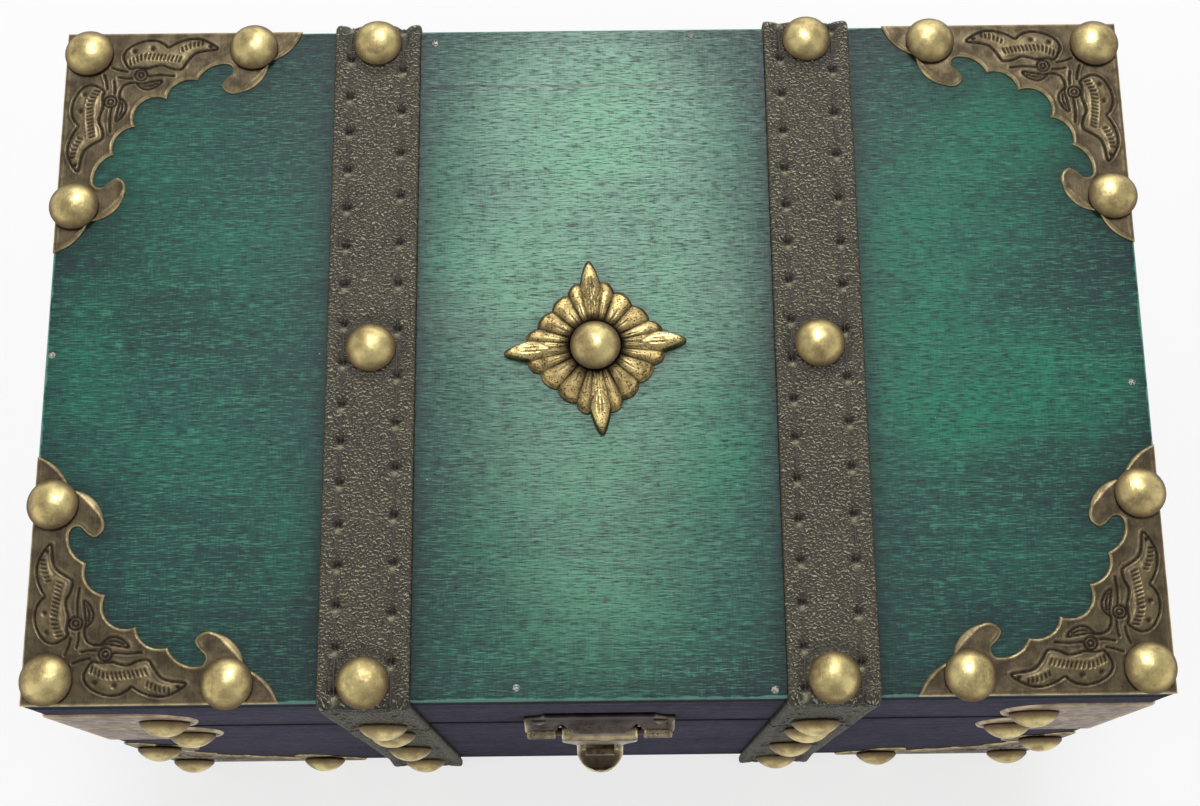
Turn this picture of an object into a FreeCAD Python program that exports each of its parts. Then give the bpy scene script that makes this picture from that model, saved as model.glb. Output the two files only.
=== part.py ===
import FreeCAD, Part
import math
import os

from FreeCAD import Vector

# A wooden storage box with a hinged lid, leather straps, brass fittings and a front latch.
# Millimetres. The origin is the middle of the underside, the front faces -Y and +Z is up.

# Overall sizes over the wood, with the lid closed
box_width = 240.0
box_depth = 154.0
box_height = 130.0
lid_height = box_height * 4 / 13

# Boards: the walls and lid rails, the lid's top board and the bottom board
wall = 8.0
top_board = 7.0
bottom_board = 5.0
edge_round = 0.6

# The slit between the lid and the body
lid_gap = 0.3

# Leather straps
strap_width = 19.4
strap_thickness = 1.6
strap_spacing = box_width * 0.407
strap_cut_setback = 1.2
strap_end_round = 2.4

# Height of the lowest trim above the underside
foot_clearance = 0.4

# Dome-headed brass nails. The many nails stay light with a dozen flat sides each.
nail_radius = 5.5
nail_dome = 3.2
nail_sides = 12

# Rings of a nail's head from its edge to its flat crown, as shares of its radius and height
nail_ring_shares = ((1.0, 0.0), (0.81, 0.58), (0.42, 1.0))

# Straight steps that stand for an arc in the outlines of the repeated sheet pieces
arc_steps = 4
half_round_steps = 12

# Ornate brass corner fittings on the lid and on the lower front corners
fitting_leg = (box_width + box_height) * 0.145
fitting_thickness = 0.8
lid_corner_nail_inset = 5.3
lid_leg_nail_inset = 4.2
leg_nail_reach = fitting_leg * 0.798
front_nail_inset = 6.2

# Nails on the straps: from the lid's edges, and from the slit on the lid and on the body
strap_top_nail_inset = 3.9
strap_slit_nail_drop = 8.2
strap_bottom_nail_height = 8.0

# The diamond rosette in the middle of the lid
rosette_span = 40.0
rosette_rim = 0.8
rosette_height = 2.2
rosette_turn_degrees = 4.0
rosette_flute_depth = 0.9
quarter_degrees = 90.0

# Plain brass brackets that wrap the four corners above and below the slit
bracket_leg = box_width / 8
bracket_height = lid_height * 0.6
bracket_thickness = 0.7
bracket_setback = 0.5
bracket_nail_inset = 7.0

# The two hinges on the back
hinge_spacing = box_width * 0.625
hinge_width = box_width / 10
hinge_leaf_height = 15.0
hinge_leaf = 1.0
hinge_middle_knuckle = hinge_width / 3
hinge_knuckle_radius = 2.0
hinge_knuckle_gap = 0.2
barrel_clearance = 0.3
hinge_corner_round = 4.0

# Pins and the play round them, in the hinges and in the latch
pin_radius = 0.9
pin_play = 0.05

# The latch: a plate on the lid, a catch plate with a hook on the body, and a flap
latch_width = 34.0
latch_plate = 1.0
latch_plate_height = 14.0
latch_axis_rise = 3.0
latch_barrel_radius = 2.2
latch_barrel_clearance = 0.42
latch_side_barrel_radius = 1.7
latch_shoulder_drop = 4.5
flap_width = 17.4
flap_sheet = 1.0
flap_neck_width = 11.0
flap_taper_start = 5.0
flap_lip_start = 13.5
flap_lip_radius = 4.5
flap_lip_sweep_degrees = 105.0
flap_slot_width = 8.0
flap_slot_top = 7.2
flap_slot_height = 6.0
latch_play = 0.25
catch_width = 31.0
catch_height = 17.0
catch_setback = 1.2
catch_wing_height = 8.5
hook_width = 6.8
hook_reach = 6.9
hook_sheet = 1.4
hook_drop = 9.6
hook_tip_rise = 1.3
latch_rivet_radius = 1.7
latch_rivet_dome = 0.9

# One overrun for every cut that runs out of its piece, and how near two points are the same
overrun = 1.0
same_point = 0.01

# Worked out from the sizes above
half_width = box_width / 2
half_depth = box_depth / 2
slit_floor = box_height - lid_height
slit_roof = slit_floor + lid_gap
slit_middle = slit_floor + lid_gap / 2
rail_top = box_height - top_board
inner_half_width = half_width - wall
inner_half_depth = half_depth - wall
bore_radius = pin_radius + pin_play
strap_places = (-strap_spacing / 2, strap_spacing / 2)
hinge_places = (-hinge_spacing / 2, hinge_spacing / 2)
hinge_axis_y = half_depth + hinge_knuckle_radius + barrel_clearance
latch_axis_out = latch_barrel_radius + latch_barrel_clearance
latch_axis_y = -half_depth - latch_axis_out
latch_axis_z = slit_floor + latch_axis_rise

# Outline of half a corner fitting, as shares of its leg: along the edge, and in from the edge.
# Each row is an arc: a point that it passes through, then the point where it ends.
# It runs from the pointed tip over the hooked lobe and two scallops to the cusp by the diagonal.
fitting_arc_shares = (
    ((0.956, 0.078), (0.861, 0.138)),
    ((0.829, 0.225), (0.740, 0.280)),
    ((0.682, 0.274), (0.664, 0.246)),
    ((0.675, 0.2255), (0.701, 0.198)),
    ((0.710, 0.175), (0.690, 0.149)),
    ((0.608, 0.166), (0.561, 0.224)),
    ((0.477, 0.235), (0.434, 0.3075)),
)
fitting_diagonal_share = 0.326

# Outline of a quarter of the rosette, as shares of its half span.
# After the leaf's tip come the valleys on both sides of four petals, on the way to the next tip.
rosette_valley_shares = ((0.742, 0.111), (0.614, 0.254), (0.442, 0.442), (0.254, 0.614), (0.111, 0.742))
rosette_bulge_share = 0.055
rosette_tip_bulge_share = 0.045
rosette_dish_share = 0.30
rosette_crown_share = 0.36


def board(low, high):
    """A plain board between two corners."""
    size = high - low
    return Part.makeBox(size.x, size.y, size.z, low)


def rounded(solid, radius, picks):
    """The solid with the edges rounded whose middle point passes the test."""
    edges = [edge for edge in solid.Edges if picks(edge.CenterOfMass)]
    return solid.makeFillet(radius, edges)


def tube(start_x, end_x, y, z, outer, bore):
    """A round tube along X."""
    along = Vector(1, 0, 0)
    start = Vector(start_x, y, z)
    length = end_x - start_x
    return Part.makeCylinder(outer, length, start, along).cut(Part.makeCylinder(bore, length, start, along))


def rod(start_x, end_x, y, z, radius):
    """A round rod along X."""
    return Part.makeCylinder(radius, end_x - start_x, Vector(start_x, y, z), Vector(1, 0, 0))


def stepped(edges, steps):
    """A closed outline of lines and arcs, joined head to tail, with each arc drawn in straight steps."""
    points = []
    for edge in edges:
        pieces = steps if isinstance(edge.Curve, Part.Circle) else 1
        points += edge.discretize(pieces + 1)[:-1]
    return Part.makePolygon(points + points[:1])


def faceted(rings):
    """A closed solid of flat facets through rings of points, each with as many points as the next."""
    outlines = [ring + ring[:1] for ring in (rings[0], rings[-1])]
    for lower, upper in zip(rings, rings[1:]):
        for index in range(len(lower)):
            start, end = lower[index - 1], upper[index]
            outlines.append([start, lower[index], end, start])
            outlines.append([start, end, upper[index - 1], start])
    faces = [Part.Face(Part.makePolygon(outline)) for outline in outlines]
    return Part.Solid(Part.Shell(faces)).removeSplitter()


def dome(place, outward, radius, height):
    """A dome-headed nail's head, in flat facets from its edge to its crown."""
    turns = [2 * math.pi * index / nail_sides for index in range(nail_sides)]
    rings = [[Vector(radius * share * math.cos(turn), radius * share * math.sin(turn), height * rise)
              for turn in turns] for share, rise in nail_ring_shares]
    head = faceted(rings)
    head.Placement = FreeCAD.Placement(place, FreeCAD.Rotation(Vector(0, 0, 1), outward))
    return head


def nails(places):
    """A group of like dome-headed nails, each a place and the way that it faces."""
    return Part.Compound([dome(place, outward, nail_radius, nail_dome) for place, outward in places])


UP = Vector(0, 0, 1)
FRONT = Vector(0, -1, 0)
BACK = Vector(0, 1, 0)


def body_front():
    """The front wall, over the ends of the side walls."""
    return board(Vector(-half_width, -half_depth, 0), Vector(half_width, -inner_half_depth, slit_floor))


def body_back():
    """The back wall, over the ends of the side walls."""
    return board(Vector(-half_width, inner_half_depth, 0), Vector(half_width, half_depth, slit_floor))


def body_side(side):
    """A side wall between the front and back walls."""
    near, far = sorted((side * inner_half_width, side * half_width))
    return board(Vector(near, -inner_half_depth, 0), Vector(far, inner_half_depth, slit_floor))


def body_bottom():
    """The bottom board, let in between the walls and flush with their undersides."""
    low = Vector(-inner_half_width, -inner_half_depth, 0)
    high = Vector(inner_half_width, inner_half_depth, bottom_board)
    return board(low, high)


def lid_top():
    """The lid's top board, with its upper edges eased."""
    whole = board(Vector(-half_width, -half_depth, rail_top), Vector(half_width, half_depth, box_height))
    return rounded(whole, edge_round, lambda middle: middle.z > box_height - edge_round)


def lid_long_rail(side):
    """The lid's front or back rail."""
    near, far = sorted((side * inner_half_depth, side * half_depth))
    return board(Vector(-half_width, near, slit_roof), Vector(half_width, far, rail_top))


def lid_short_rail(side):
    """A side rail between the lid's front and back rails."""
    near, far = sorted((side * inner_half_width, side * half_width))
    return board(Vector(near, -inner_half_depth, slit_roof), Vector(far, inner_half_depth, rail_top))


def lid_strap(place):
    """A strap over the lid: up the front, over both eased edges and down the back."""
    low = slit_roof + strap_cut_setback
    straight = half_depth - edge_round
    shoulder = box_height - edge_round
    bend = math.sqrt(0.5)
    outer = edge_round + strap_thickness

    def arc(side, radius):
        start = Vector(place, side * (straight + radius), shoulder)
        middle = Vector(place, side * (straight + radius * bend), shoulder + radius * bend)
        end = Vector(place, side * straight, shoulder + radius)
        return start, middle, end

    front_out = arc(-1, outer)
    back_out = arc(1, outer)
    front_in = arc(-1, edge_round)
    back_in = arc(1, edge_round)
    feet = [Vector(place, side * (half_depth + skin), low) for side, skin in
            ((-1, strap_thickness), (-1, 0), (1, 0), (1, strap_thickness))]
    outline = Part.Wire([
        Part.makeLine(feet[0], front_out[0]),
        Part.Arc(*front_out).toShape(),
        Part.makeLine(front_out[2], back_out[2]),
        Part.Arc(*reversed(back_out)).toShape(),
        Part.makeLine(back_out[0], feet[3]),
        Part.makeLine(feet[3], feet[2]),
        Part.makeLine(feet[2], back_in[0]),
        Part.Arc(*back_in).toShape(),
        Part.makeLine(back_in[2], front_in[2]),
        Part.Arc(*reversed(front_in)).toShape(),
        Part.makeLine(front_in[0], feet[1]),
        Part.makeLine(feet[1], feet[0]),
    ])
    strap = Part.Face(outline).extrude(Vector(strap_width, 0, 0))
    strap.translate(Vector(-strap_width / 2, 0, 0))
    return strap


def body_strap(place, side):
    """A strap down the body's front or back, with its lower corners rounded."""
    near, far = sorted((side * half_depth, side * (half_depth + strap_thickness)))
    low = Vector(place - strap_width / 2, near, foot_clearance)
    high = Vector(place + strap_width / 2, far, slit_floor - strap_cut_setback)

    def at_lower_corner(middle):
        through = abs(middle.y - (near + far) / 2) < strap_thickness / 4
        return through and middle.z < low.z + strap_end_round and abs(middle.x - place) > strap_width / 4

    return rounded(board(low, high), strap_end_round, at_lower_corner)


def fitting_plate():
    """A corner fitting lying flat, its corner at the origin and its legs along +X and +Y."""
    leg = fitting_leg
    tip = Vector(leg, 0, 0)
    edges = [Part.makeLine(Vector(0, 0, 0), tip)]
    here = tip
    for through, end in fitting_arc_shares:
        there = Vector(leg * end[0], leg * end[1], 0)
        edges.append(Part.Arc(here, Vector(leg * through[0], leg * through[1], 0), there).toShape())
        here = there
    across = Vector(here.y, here.x, 0)
    middle = Vector(leg * fitting_diagonal_share, leg * fitting_diagonal_share, 0)
    edges.append(Part.Arc(here, middle, across).toShape())
    ends = [(tip.x / leg, tip.y / leg)] + [end for through, end in fitting_arc_shares]
    for index in reversed(range(len(fitting_arc_shares))):
        through = fitting_arc_shares[index][0]
        start = Vector(leg * ends[index + 1][1], leg * ends[index + 1][0], 0)
        finish = Vector(leg * ends[index][1], leg * ends[index][0], 0)
        edges.append(Part.Arc(start, Vector(leg * through[1], leg * through[0], 0), finish).toShape())
    edges.append(Part.makeLine(Vector(0, leg, 0), Vector(0, 0, 0)))
    return Part.Face(stepped(edges, arc_steps)).extrude(Vector(0, 0, fitting_thickness))


def mirrored(solid, flip_x, flip_y):
    """The solid mirrored in the planes through the origin that the flags name."""
    origin = Vector(0, 0, 0)
    if flip_x:
        solid = solid.mirror(origin, Vector(1, 0, 0))
    if flip_y:
        solid = solid.mirror(origin, Vector(0, 1, 0))
    return solid


def lid_fitting(side_x, side_y):
    """A corner fitting on the lid, flush with both edges."""
    plate = mirrored(fitting_plate(), side_x > 0, side_y > 0)
    plate.translate(Vector(side_x * half_width, side_y * half_depth, box_height))
    return plate


def front_fitting(side):
    """A corner fitting on a lower corner of the front wall, its legs along the foot and up the corner."""
    plate = mirrored(fitting_plate(), side > 0, False)
    plate.rotate(Vector(0, 0, 0), Vector(1, 0, 0), 90)
    plate.translate(Vector(side * half_width, -half_depth, foot_clearance))
    return plate


def bracket(side_x, side_y, low):
    """A plain brass bracket wrapped round a vertical corner, each leg ending in a half round."""
    end_radius = bracket_height / 2
    straight = bracket_leg - end_radius

    def leg():
        high = Vector(0, 0, bracket_height)
        turn = Vector(straight, 0, 0)
        corner = Vector(-bracket_thickness, 0, 0)
        outline = stepped([
            Part.makeLine(corner, turn),
            Part.Arc(turn, turn + Vector(end_radius, 0, end_radius), turn + high).toShape(),
            Part.makeLine(turn + high, corner + high),
            Part.makeLine(corner + high, corner),
        ], half_round_steps)
        return Part.Face(outline).extrude(Vector(0, -bracket_thickness, 0))

    front_leg = leg()
    side_leg = leg().mirror(Vector(0, 0, 0), Vector(1, -1, 0))
    whole = mirrored(front_leg.fuse(side_leg).removeSplitter(), side_x > 0, side_y > 0)
    whole.translate(Vector(side_x * half_width, side_y * half_depth, low))
    return whole


def bracket_nails(low):
    """The dome nails of the four brackets at one level: one near each end."""
    height = low + bracket_height / 2
    places = []
    for side_x in (-1, 1):
        for side_y in (-1, 1):
            long_face = side_y * (half_depth + bracket_thickness)
            short_face = side_x * (half_width + bracket_thickness)
            along_x = side_x * (half_width - bracket_leg + bracket_nail_inset)
            along_y = side_y * (half_depth - bracket_leg + bracket_nail_inset)
            places.append((Vector(along_x, long_face, height), Vector(0, side_y, 0)))
            places.append((Vector(short_face, along_y, height), Vector(side_x, 0, 0)))
    return nails(places)


def lid_fitting_nails():
    """Three dome nails in each of the lid's corner fittings."""
    top = box_height + fitting_thickness
    places = []
    for side_x in (-1, 1):
        for side_y in (-1, 1):
            for in_x, in_y in ((lid_corner_nail_inset, lid_corner_nail_inset),
                               (leg_nail_reach, lid_leg_nail_inset),
                               (lid_leg_nail_inset, leg_nail_reach)):
                spot = Vector(side_x * (half_width - in_x), side_y * (half_depth - in_y), top)
                places.append((spot, UP))
    return nails(places)


def front_fitting_nails():
    """Three dome nails in each of the fittings on the front wall."""
    face = -half_depth - fitting_thickness
    places = []
    for side in (-1, 1):
        for inward, upward in ((front_nail_inset, front_nail_inset),
                               (leg_nail_reach, front_nail_inset),
                               (front_nail_inset, leg_nail_reach)):
            places.append((Vector(side * (half_width - inward), face, upward), FRONT))
    return nails(places)


def lid_strap_nails():
    """The dome nails of the lid's straps: three on top, one on the front and one on the back of each."""
    top = box_height + strap_thickness
    face = half_depth + strap_thickness
    low = slit_roof + strap_slit_nail_drop
    edge = half_depth - strap_top_nail_inset
    places = []
    for place in strap_places:
        places += [(Vector(place, y, top), UP) for y in (-edge, 0, edge)]
        places += [(Vector(place, -face, low), FRONT), (Vector(place, face, low), BACK)]
    return nails(places)


def body_strap_nails():
    """The dome nails of the body's straps: below the slit, halfway and near the foot."""
    face = half_depth + strap_thickness
    top = slit_floor - strap_slit_nail_drop
    places = []
    for place in strap_places:
        for height in (top, (top + strap_bottom_nail_height) / 2, strap_bottom_nail_height):
            places += [(Vector(place, -face, height), FRONT), (Vector(place, face, height), BACK)]
    return nails(places)


def rosette_edges():
    """The rosette's outline: four pointed leaves with four round petals from each to the next."""
    half = rosette_span / 2
    tip = Vector(half, 0, 0)
    next_tip = Vector(0, half, 0)
    valleys = [Vector(half * x, half * y, 0) for x, y in rosette_valley_shares]
    petals = [(start, end, rosette_bulge_share) for start, end in zip(valleys, valleys[1:])]
    stretches = [(tip, valleys[0], rosette_tip_bulge_share), *petals,
                 (valleys[-1], next_tip, rosette_tip_bulge_share)]
    edges = []
    for quarter in range(4):
        turn = FreeCAD.Rotation(UP, quarter_degrees * quarter)
        for start, end, bulge_share in stretches:
            first, last = turn.multVec(start), turn.multVec(end)
            chord = (last - first).normalize()
            bulge = Vector(chord.y, -chord.x, 0) * (half * bulge_share)
            edges.append(Part.Arc(first, (first + last) * 0.5 + bulge, last).toShape())
    return edges


def rosette():
    """The pressed brass rosette: a dished middle in a crown, and petals and leaves ridged to their ends."""
    half = rosette_span / 2
    edges = rosette_edges()
    middle_height = (rosette_rim + rosette_height) / 2
    corners = [vertex.Point for vertex in stepped(edges, arc_steps).OrderedVertexes]
    starts = [edge.Vertexes[0].Point for edge in edges]
    valleys = [start for start in starts if start.Length < half - same_point]

    def crown_height(corner):
        in_valley = any(corner.isEqual(valley, same_point) for valley in valleys)
        return rosette_height - rosette_flute_depth * in_valley

    def at_radius(corner, radius, height):
        return Vector(corner).normalize() * radius + Vector(0, 0, height)

    flower = faceted([
        corners,
        [corner + Vector(0, 0, rosette_rim) for corner in corners],
        [at_radius(corner, half * rosette_crown_share, crown_height(corner)) for corner in corners],
        [at_radius(corner, half * rosette_dish_share, middle_height) for corner in corners],
    ])
    flower.rotate(Vector(0, 0, 0), UP, rosette_turn_degrees)
    flower.translate(Vector(0, 0, box_height))
    return flower


def rosette_nail():
    """The dome nail in the rosette's dished middle."""
    seat = box_height + (rosette_rim + rosette_height) / 2
    return dome(Vector(0, 0, seat), UP, nail_radius, nail_dome)


def leaf_outline(place, side):
    """A hinge leaf's flat, standing on the back face above (side 1) or below (side -1) the axis."""
    far = slit_middle + side * hinge_leaf_height
    low, high = sorted((slit_middle, far))
    flat = board(Vector(place - hinge_width / 2, half_depth, low),
                 Vector(place + hinge_width / 2, half_depth + hinge_leaf, high))

    def at_far_corner(middle):
        through = abs(middle.y - half_depth - hinge_leaf / 2) < hinge_leaf / 4
        return through and abs(middle.z - far) < hinge_leaf / 2 and abs(middle.x - place) > hinge_width / 4

    return rounded(flat, hinge_corner_round, at_far_corner)


def hinge_leaf_solid(place, side):
    """A hinge leaf with its knuckles: the lid's has the middle one, the body's the two outer ones."""
    half_knuckle = hinge_middle_knuckle / 2
    half_hinge = hinge_width / 2
    middle_span = (place - half_knuckle, place + half_knuckle)
    outer_spans = ((place - half_hinge, middle_span[0] - hinge_knuckle_gap),
                   (middle_span[1] + hinge_knuckle_gap, place + half_hinge))
    own_spans = (middle_span,) if side > 0 else outer_spans
    reach = hinge_knuckle_radius + barrel_clearance
    clear_low, clear_high = sorted((slit_middle - side * reach, slit_middle + side * reach))
    if side > 0:
        cleared_spans = ((place - half_hinge - overrun, middle_span[0]),
                         (middle_span[1], place + half_hinge + overrun))
    else:
        cleared_spans = ((middle_span[0] - hinge_knuckle_gap, middle_span[1] + hinge_knuckle_gap),)
    leaf = leaf_outline(place, side)
    for start, end in cleared_spans:
        leaf = leaf.cut(board(Vector(start, half_depth - overrun, clear_low),
                              Vector(end, half_depth + hinge_leaf + overrun, clear_high)))
    slit_side = board(Vector(place - hinge_width, half_depth - overrun, slit_middle - lid_gap),
                      Vector(place + hinge_width, half_depth + hinge_leaf + overrun, slit_middle + lid_gap))
    leaf = leaf.cut(slit_side)
    for start, end in own_spans:
        leaf = leaf.cut(rod(start, end, hinge_axis_y, slit_middle, bore_radius))
        leaf = leaf.fuse(tube(start, end, hinge_axis_y, slit_middle, hinge_knuckle_radius, bore_radius))
    return leaf.removeSplitter()


def hinge_pin(place):
    """A hinge pin, as long as its three knuckles."""
    return rod(place - hinge_width / 2, place + hinge_width / 2, hinge_axis_y, slit_middle, pin_radius)


def latch_point(out, rise, x):
    """A point of the latch: out from the front face, up from the slit, and across."""
    return Vector(x, -half_depth - out, slit_floor + rise)


def latch_lid_plate():
    """The latch's plate on the lid: a shouldered plate with a barrel along the foot of each side."""
    half = latch_width / 2
    notch = flap_width / 2 + latch_play
    top = latch_axis_rise + latch_plate_height
    shoulder = top - latch_shoulder_drop
    shoulder_half = half - latch_shoulder_drop
    bend = math.sqrt(0.5)
    swing = latch_shoulder_drop * (1 - bend)
    outline = Part.Wire([
        Part.makeLine(latch_point(0, latch_axis_rise, -half), latch_point(0, latch_axis_rise, half)),
        Part.makeLine(latch_point(0, latch_axis_rise, half), latch_point(0, shoulder, half)),
        Part.Arc(latch_point(0, shoulder, half),
                 latch_point(0, shoulder + swing, shoulder_half + swing),
                 latch_point(0, top, shoulder_half)).toShape(),
        Part.makeLine(latch_point(0, top, shoulder_half), latch_point(0, top, -shoulder_half)),
        Part.Arc(latch_point(0, top, -shoulder_half),
                 latch_point(0, shoulder + swing, -shoulder_half - swing),
                 latch_point(0, shoulder, -half)).toShape(),
        Part.makeLine(latch_point(0, shoulder, -half), latch_point(0, latch_axis_rise, -half)),
    ])
    plate = Part.Face(outline).extrude(Vector(0, -latch_plate, 0))
    clear = latch_axis_rise + latch_barrel_radius + latch_play
    plate = plate.cut(board(latch_point(latch_plate + overrun, -overrun, -notch),
                            latch_point(-overrun, clear, notch)))
    for start, end in ((-half, -notch), (notch, half)):
        web = board(latch_point(latch_axis_out, latch_axis_rise, start),
                    latch_point(0, latch_axis_rise + latch_plate, end))
        plate = plate.fuse(web).cut(rod(start, end, latch_axis_y, latch_axis_z, bore_radius))
        barrel = tube(start, end, latch_axis_y, latch_axis_z, latch_side_barrel_radius, bore_radius)
        plate = plate.fuse(barrel)
    return plate.removeSplitter()


def latch_pin():
    """The pin that carries the flap between the lid plate's two barrels."""
    return rod(-latch_width / 2, latch_width / 2, latch_axis_y, latch_axis_z, pin_radius)


def flap_section():
    """The flap's section across: a barrel, a flat sheet that hangs from it, and a lip that curls forward."""
    back = latch_axis_out + latch_barrel_radius - flap_sheet
    front = back + flap_sheet
    curl_out = front + flap_lip_radius
    inner = flap_lip_radius
    outer = flap_lip_radius + flap_sheet
    sweep = math.radians(flap_lip_sweep_degrees)

    def on_curl(radius, angle):
        out = curl_out - radius * math.cos(angle)
        return latch_point(out, -flap_lip_start - radius * math.sin(angle), 0)

    corners = [latch_point(front, latch_axis_rise, 0), latch_point(back, latch_axis_rise, 0),
               latch_point(back, -flap_lip_start, 0), latch_point(front, -flap_lip_start, 0)]
    outline = Part.Wire([
        Part.makeLine(corners[0], corners[1]),
        Part.makeLine(corners[1], corners[2]),
        Part.Arc(corners[2], on_curl(outer, sweep / 2), on_curl(outer, sweep)).toShape(),
        Part.makeLine(on_curl(outer, sweep), on_curl(inner, sweep)),
        Part.Arc(on_curl(inner, sweep), on_curl(inner, sweep / 2), corners[3]).toShape(),
        Part.makeLine(corners[3], corners[0]),
    ])
    return Part.Face(outline)


def flap_front_outline():
    """The flap seen from the front: full width at the barrel, drawn in to the neck above the lip."""
    half = flap_width / 2
    neck = flap_neck_width / 2
    top = latch_axis_rise + latch_barrel_radius + overrun
    foot = -flap_lip_start - flap_lip_radius - flap_sheet - overrun
    middle_rise = -(flap_taper_start + flap_lip_start) / 2
    middle_half = neck + (half - neck) / 4
    far = latch_axis_out + latch_barrel_radius + 2 * flap_lip_radius + 2 * flap_sheet + overrun
    outline = Part.Wire([
        Part.makeLine(latch_point(0, top, -half), latch_point(0, top, half)),
        Part.makeLine(latch_point(0, top, half), latch_point(0, -flap_taper_start, half)),
        Part.Arc(latch_point(0, -flap_taper_start, half), latch_point(0, middle_rise, middle_half),
                 latch_point(0, -flap_lip_start, neck)).toShape(),
        Part.makeLine(latch_point(0, -flap_lip_start, neck), latch_point(0, foot, neck)),
        Part.makeLine(latch_point(0, foot, neck), latch_point(0, foot, -neck)),
        Part.makeLine(latch_point(0, foot, -neck), latch_point(0, -flap_lip_start, -neck)),
        Part.Arc(latch_point(0, -flap_lip_start, -neck), latch_point(0, middle_rise, -middle_half),
                 latch_point(0, -flap_taper_start, -half)).toShape(),
        Part.makeLine(latch_point(0, -flap_taper_start, -half), latch_point(0, top, -half)),
    ])
    return Part.Face(outline).extrude(Vector(0, -far, 0))


def flap_lip_end():
    """The flap seen from above: straight sides that run out into a round lip."""
    neck = flap_neck_width / 2
    sweep = math.radians(flap_lip_sweep_degrees)
    curl_out = latch_axis_out + latch_barrel_radius + flap_lip_radius
    reach = curl_out - (flap_lip_radius + flap_sheet) * math.cos(sweep)
    turn = reach - neck
    low = -flap_lip_start - flap_lip_radius - flap_sheet - overrun
    high = latch_axis_rise + latch_barrel_radius + overrun
    wide = flap_width / 2
    outline = Part.Wire([
        Part.makeLine(latch_point(0, low, -wide), latch_point(turn, low, -wide)),
        Part.makeLine(latch_point(turn, low, -wide), latch_point(turn, low, -neck)),
        Part.Arc(latch_point(turn, low, -neck), latch_point(reach, low, 0),
                 latch_point(turn, low, neck)).toShape(),
        Part.makeLine(latch_point(turn, low, neck), latch_point(turn, low, wide)),
        Part.makeLine(latch_point(turn, low, wide), latch_point(0, low, wide)),
        Part.makeLine(latch_point(0, low, wide), latch_point(0, low, -wide)),
    ])
    return Part.Face(outline).extrude(Vector(0, 0, high - low))


def latch_flap():
    """The flap: hangs from the pin, drops its slot over the hook and ends in a finger lip."""
    half = flap_width / 2
    sheet = flap_section().extrude(Vector(flap_width, 0, 0))
    sheet.translate(Vector(-half, 0, 0))
    sheet = sheet.common(flap_front_outline()).common(flap_lip_end())
    slot_low = -flap_slot_top - flap_slot_height
    slot = board(latch_point(latch_axis_out + latch_barrel_radius + overrun, slot_low, -flap_slot_width / 2),
                 latch_point(0, -flap_slot_top, flap_slot_width / 2))
    sheet = sheet.cut(slot).cut(rod(-half, half, latch_axis_y, latch_axis_z, bore_radius))
    barrel = tube(-half, half, latch_axis_y, latch_axis_z, latch_barrel_radius, bore_radius)
    return sheet.fuse(barrel).removeSplitter()


def latch_catch():
    """The catch plate on the body: a plate with a wing to each side, and the hook bent out of it."""
    half = catch_width / 2
    neck = flap_width / 2
    top = -catch_setback
    wing_low = top - catch_wing_height
    low = top - catch_height
    wing_radius = catch_wing_height / 2
    outline = Part.Wire([
        Part.makeLine(latch_point(0, top, -half + wing_radius), latch_point(0, top, half - wing_radius)),
        Part.Arc(latch_point(0, top, half - wing_radius), latch_point(0, top - wing_radius, half),
                 latch_point(0, wing_low, half - wing_radius)).toShape(),
        Part.makeLine(latch_point(0, wing_low, half - wing_radius), latch_point(0, wing_low, neck)),
        Part.Arc(latch_point(0, wing_low, neck), latch_point(0, low, 0),
                 latch_point(0, wing_low, -neck)).toShape(),
        Part.makeLine(latch_point(0, wing_low, -neck), latch_point(0, wing_low, -half + wing_radius)),
        Part.Arc(latch_point(0, wing_low, -half + wing_radius), latch_point(0, top - wing_radius, -half),
                 latch_point(0, top, -half + wing_radius)).toShape(),
    ])
    plate = Part.Face(outline).extrude(Vector(0, -latch_plate, 0))
    shank = board(latch_point(hook_reach, -hook_drop - hook_sheet, -hook_width / 2),
                  latch_point(latch_plate / 2, -hook_drop, hook_width / 2))
    tip = board(latch_point(hook_reach, -hook_drop, -hook_width / 2),
                latch_point(hook_reach - hook_sheet, -hook_drop + hook_tip_rise, hook_width / 2))
    return plate.fuse(shank).fuse(tip).removeSplitter()


def latch_rivets():
    """Small rivets that hold the latch's two plates, two in each."""
    face = latch_plate
    across = (latch_width + flap_width) / 4 + latch_rivet_radius / 2
    lid_rise = latch_axis_rise + latch_plate_height / 2 + latch_rivet_radius / 2
    body_rise = -catch_setback - catch_wing_height / 2
    reach = catch_width / 2 - catch_wing_height / 2

    def pair(place, rise):
        spots = [latch_point(face, rise, side * place) for side in (-1, 1)]
        return Part.Compound([dome(spot, FRONT, latch_rivet_radius, latch_rivet_dome) for spot in spots])

    return pair(across, lid_rise), pair(reach, body_rise)


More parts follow.
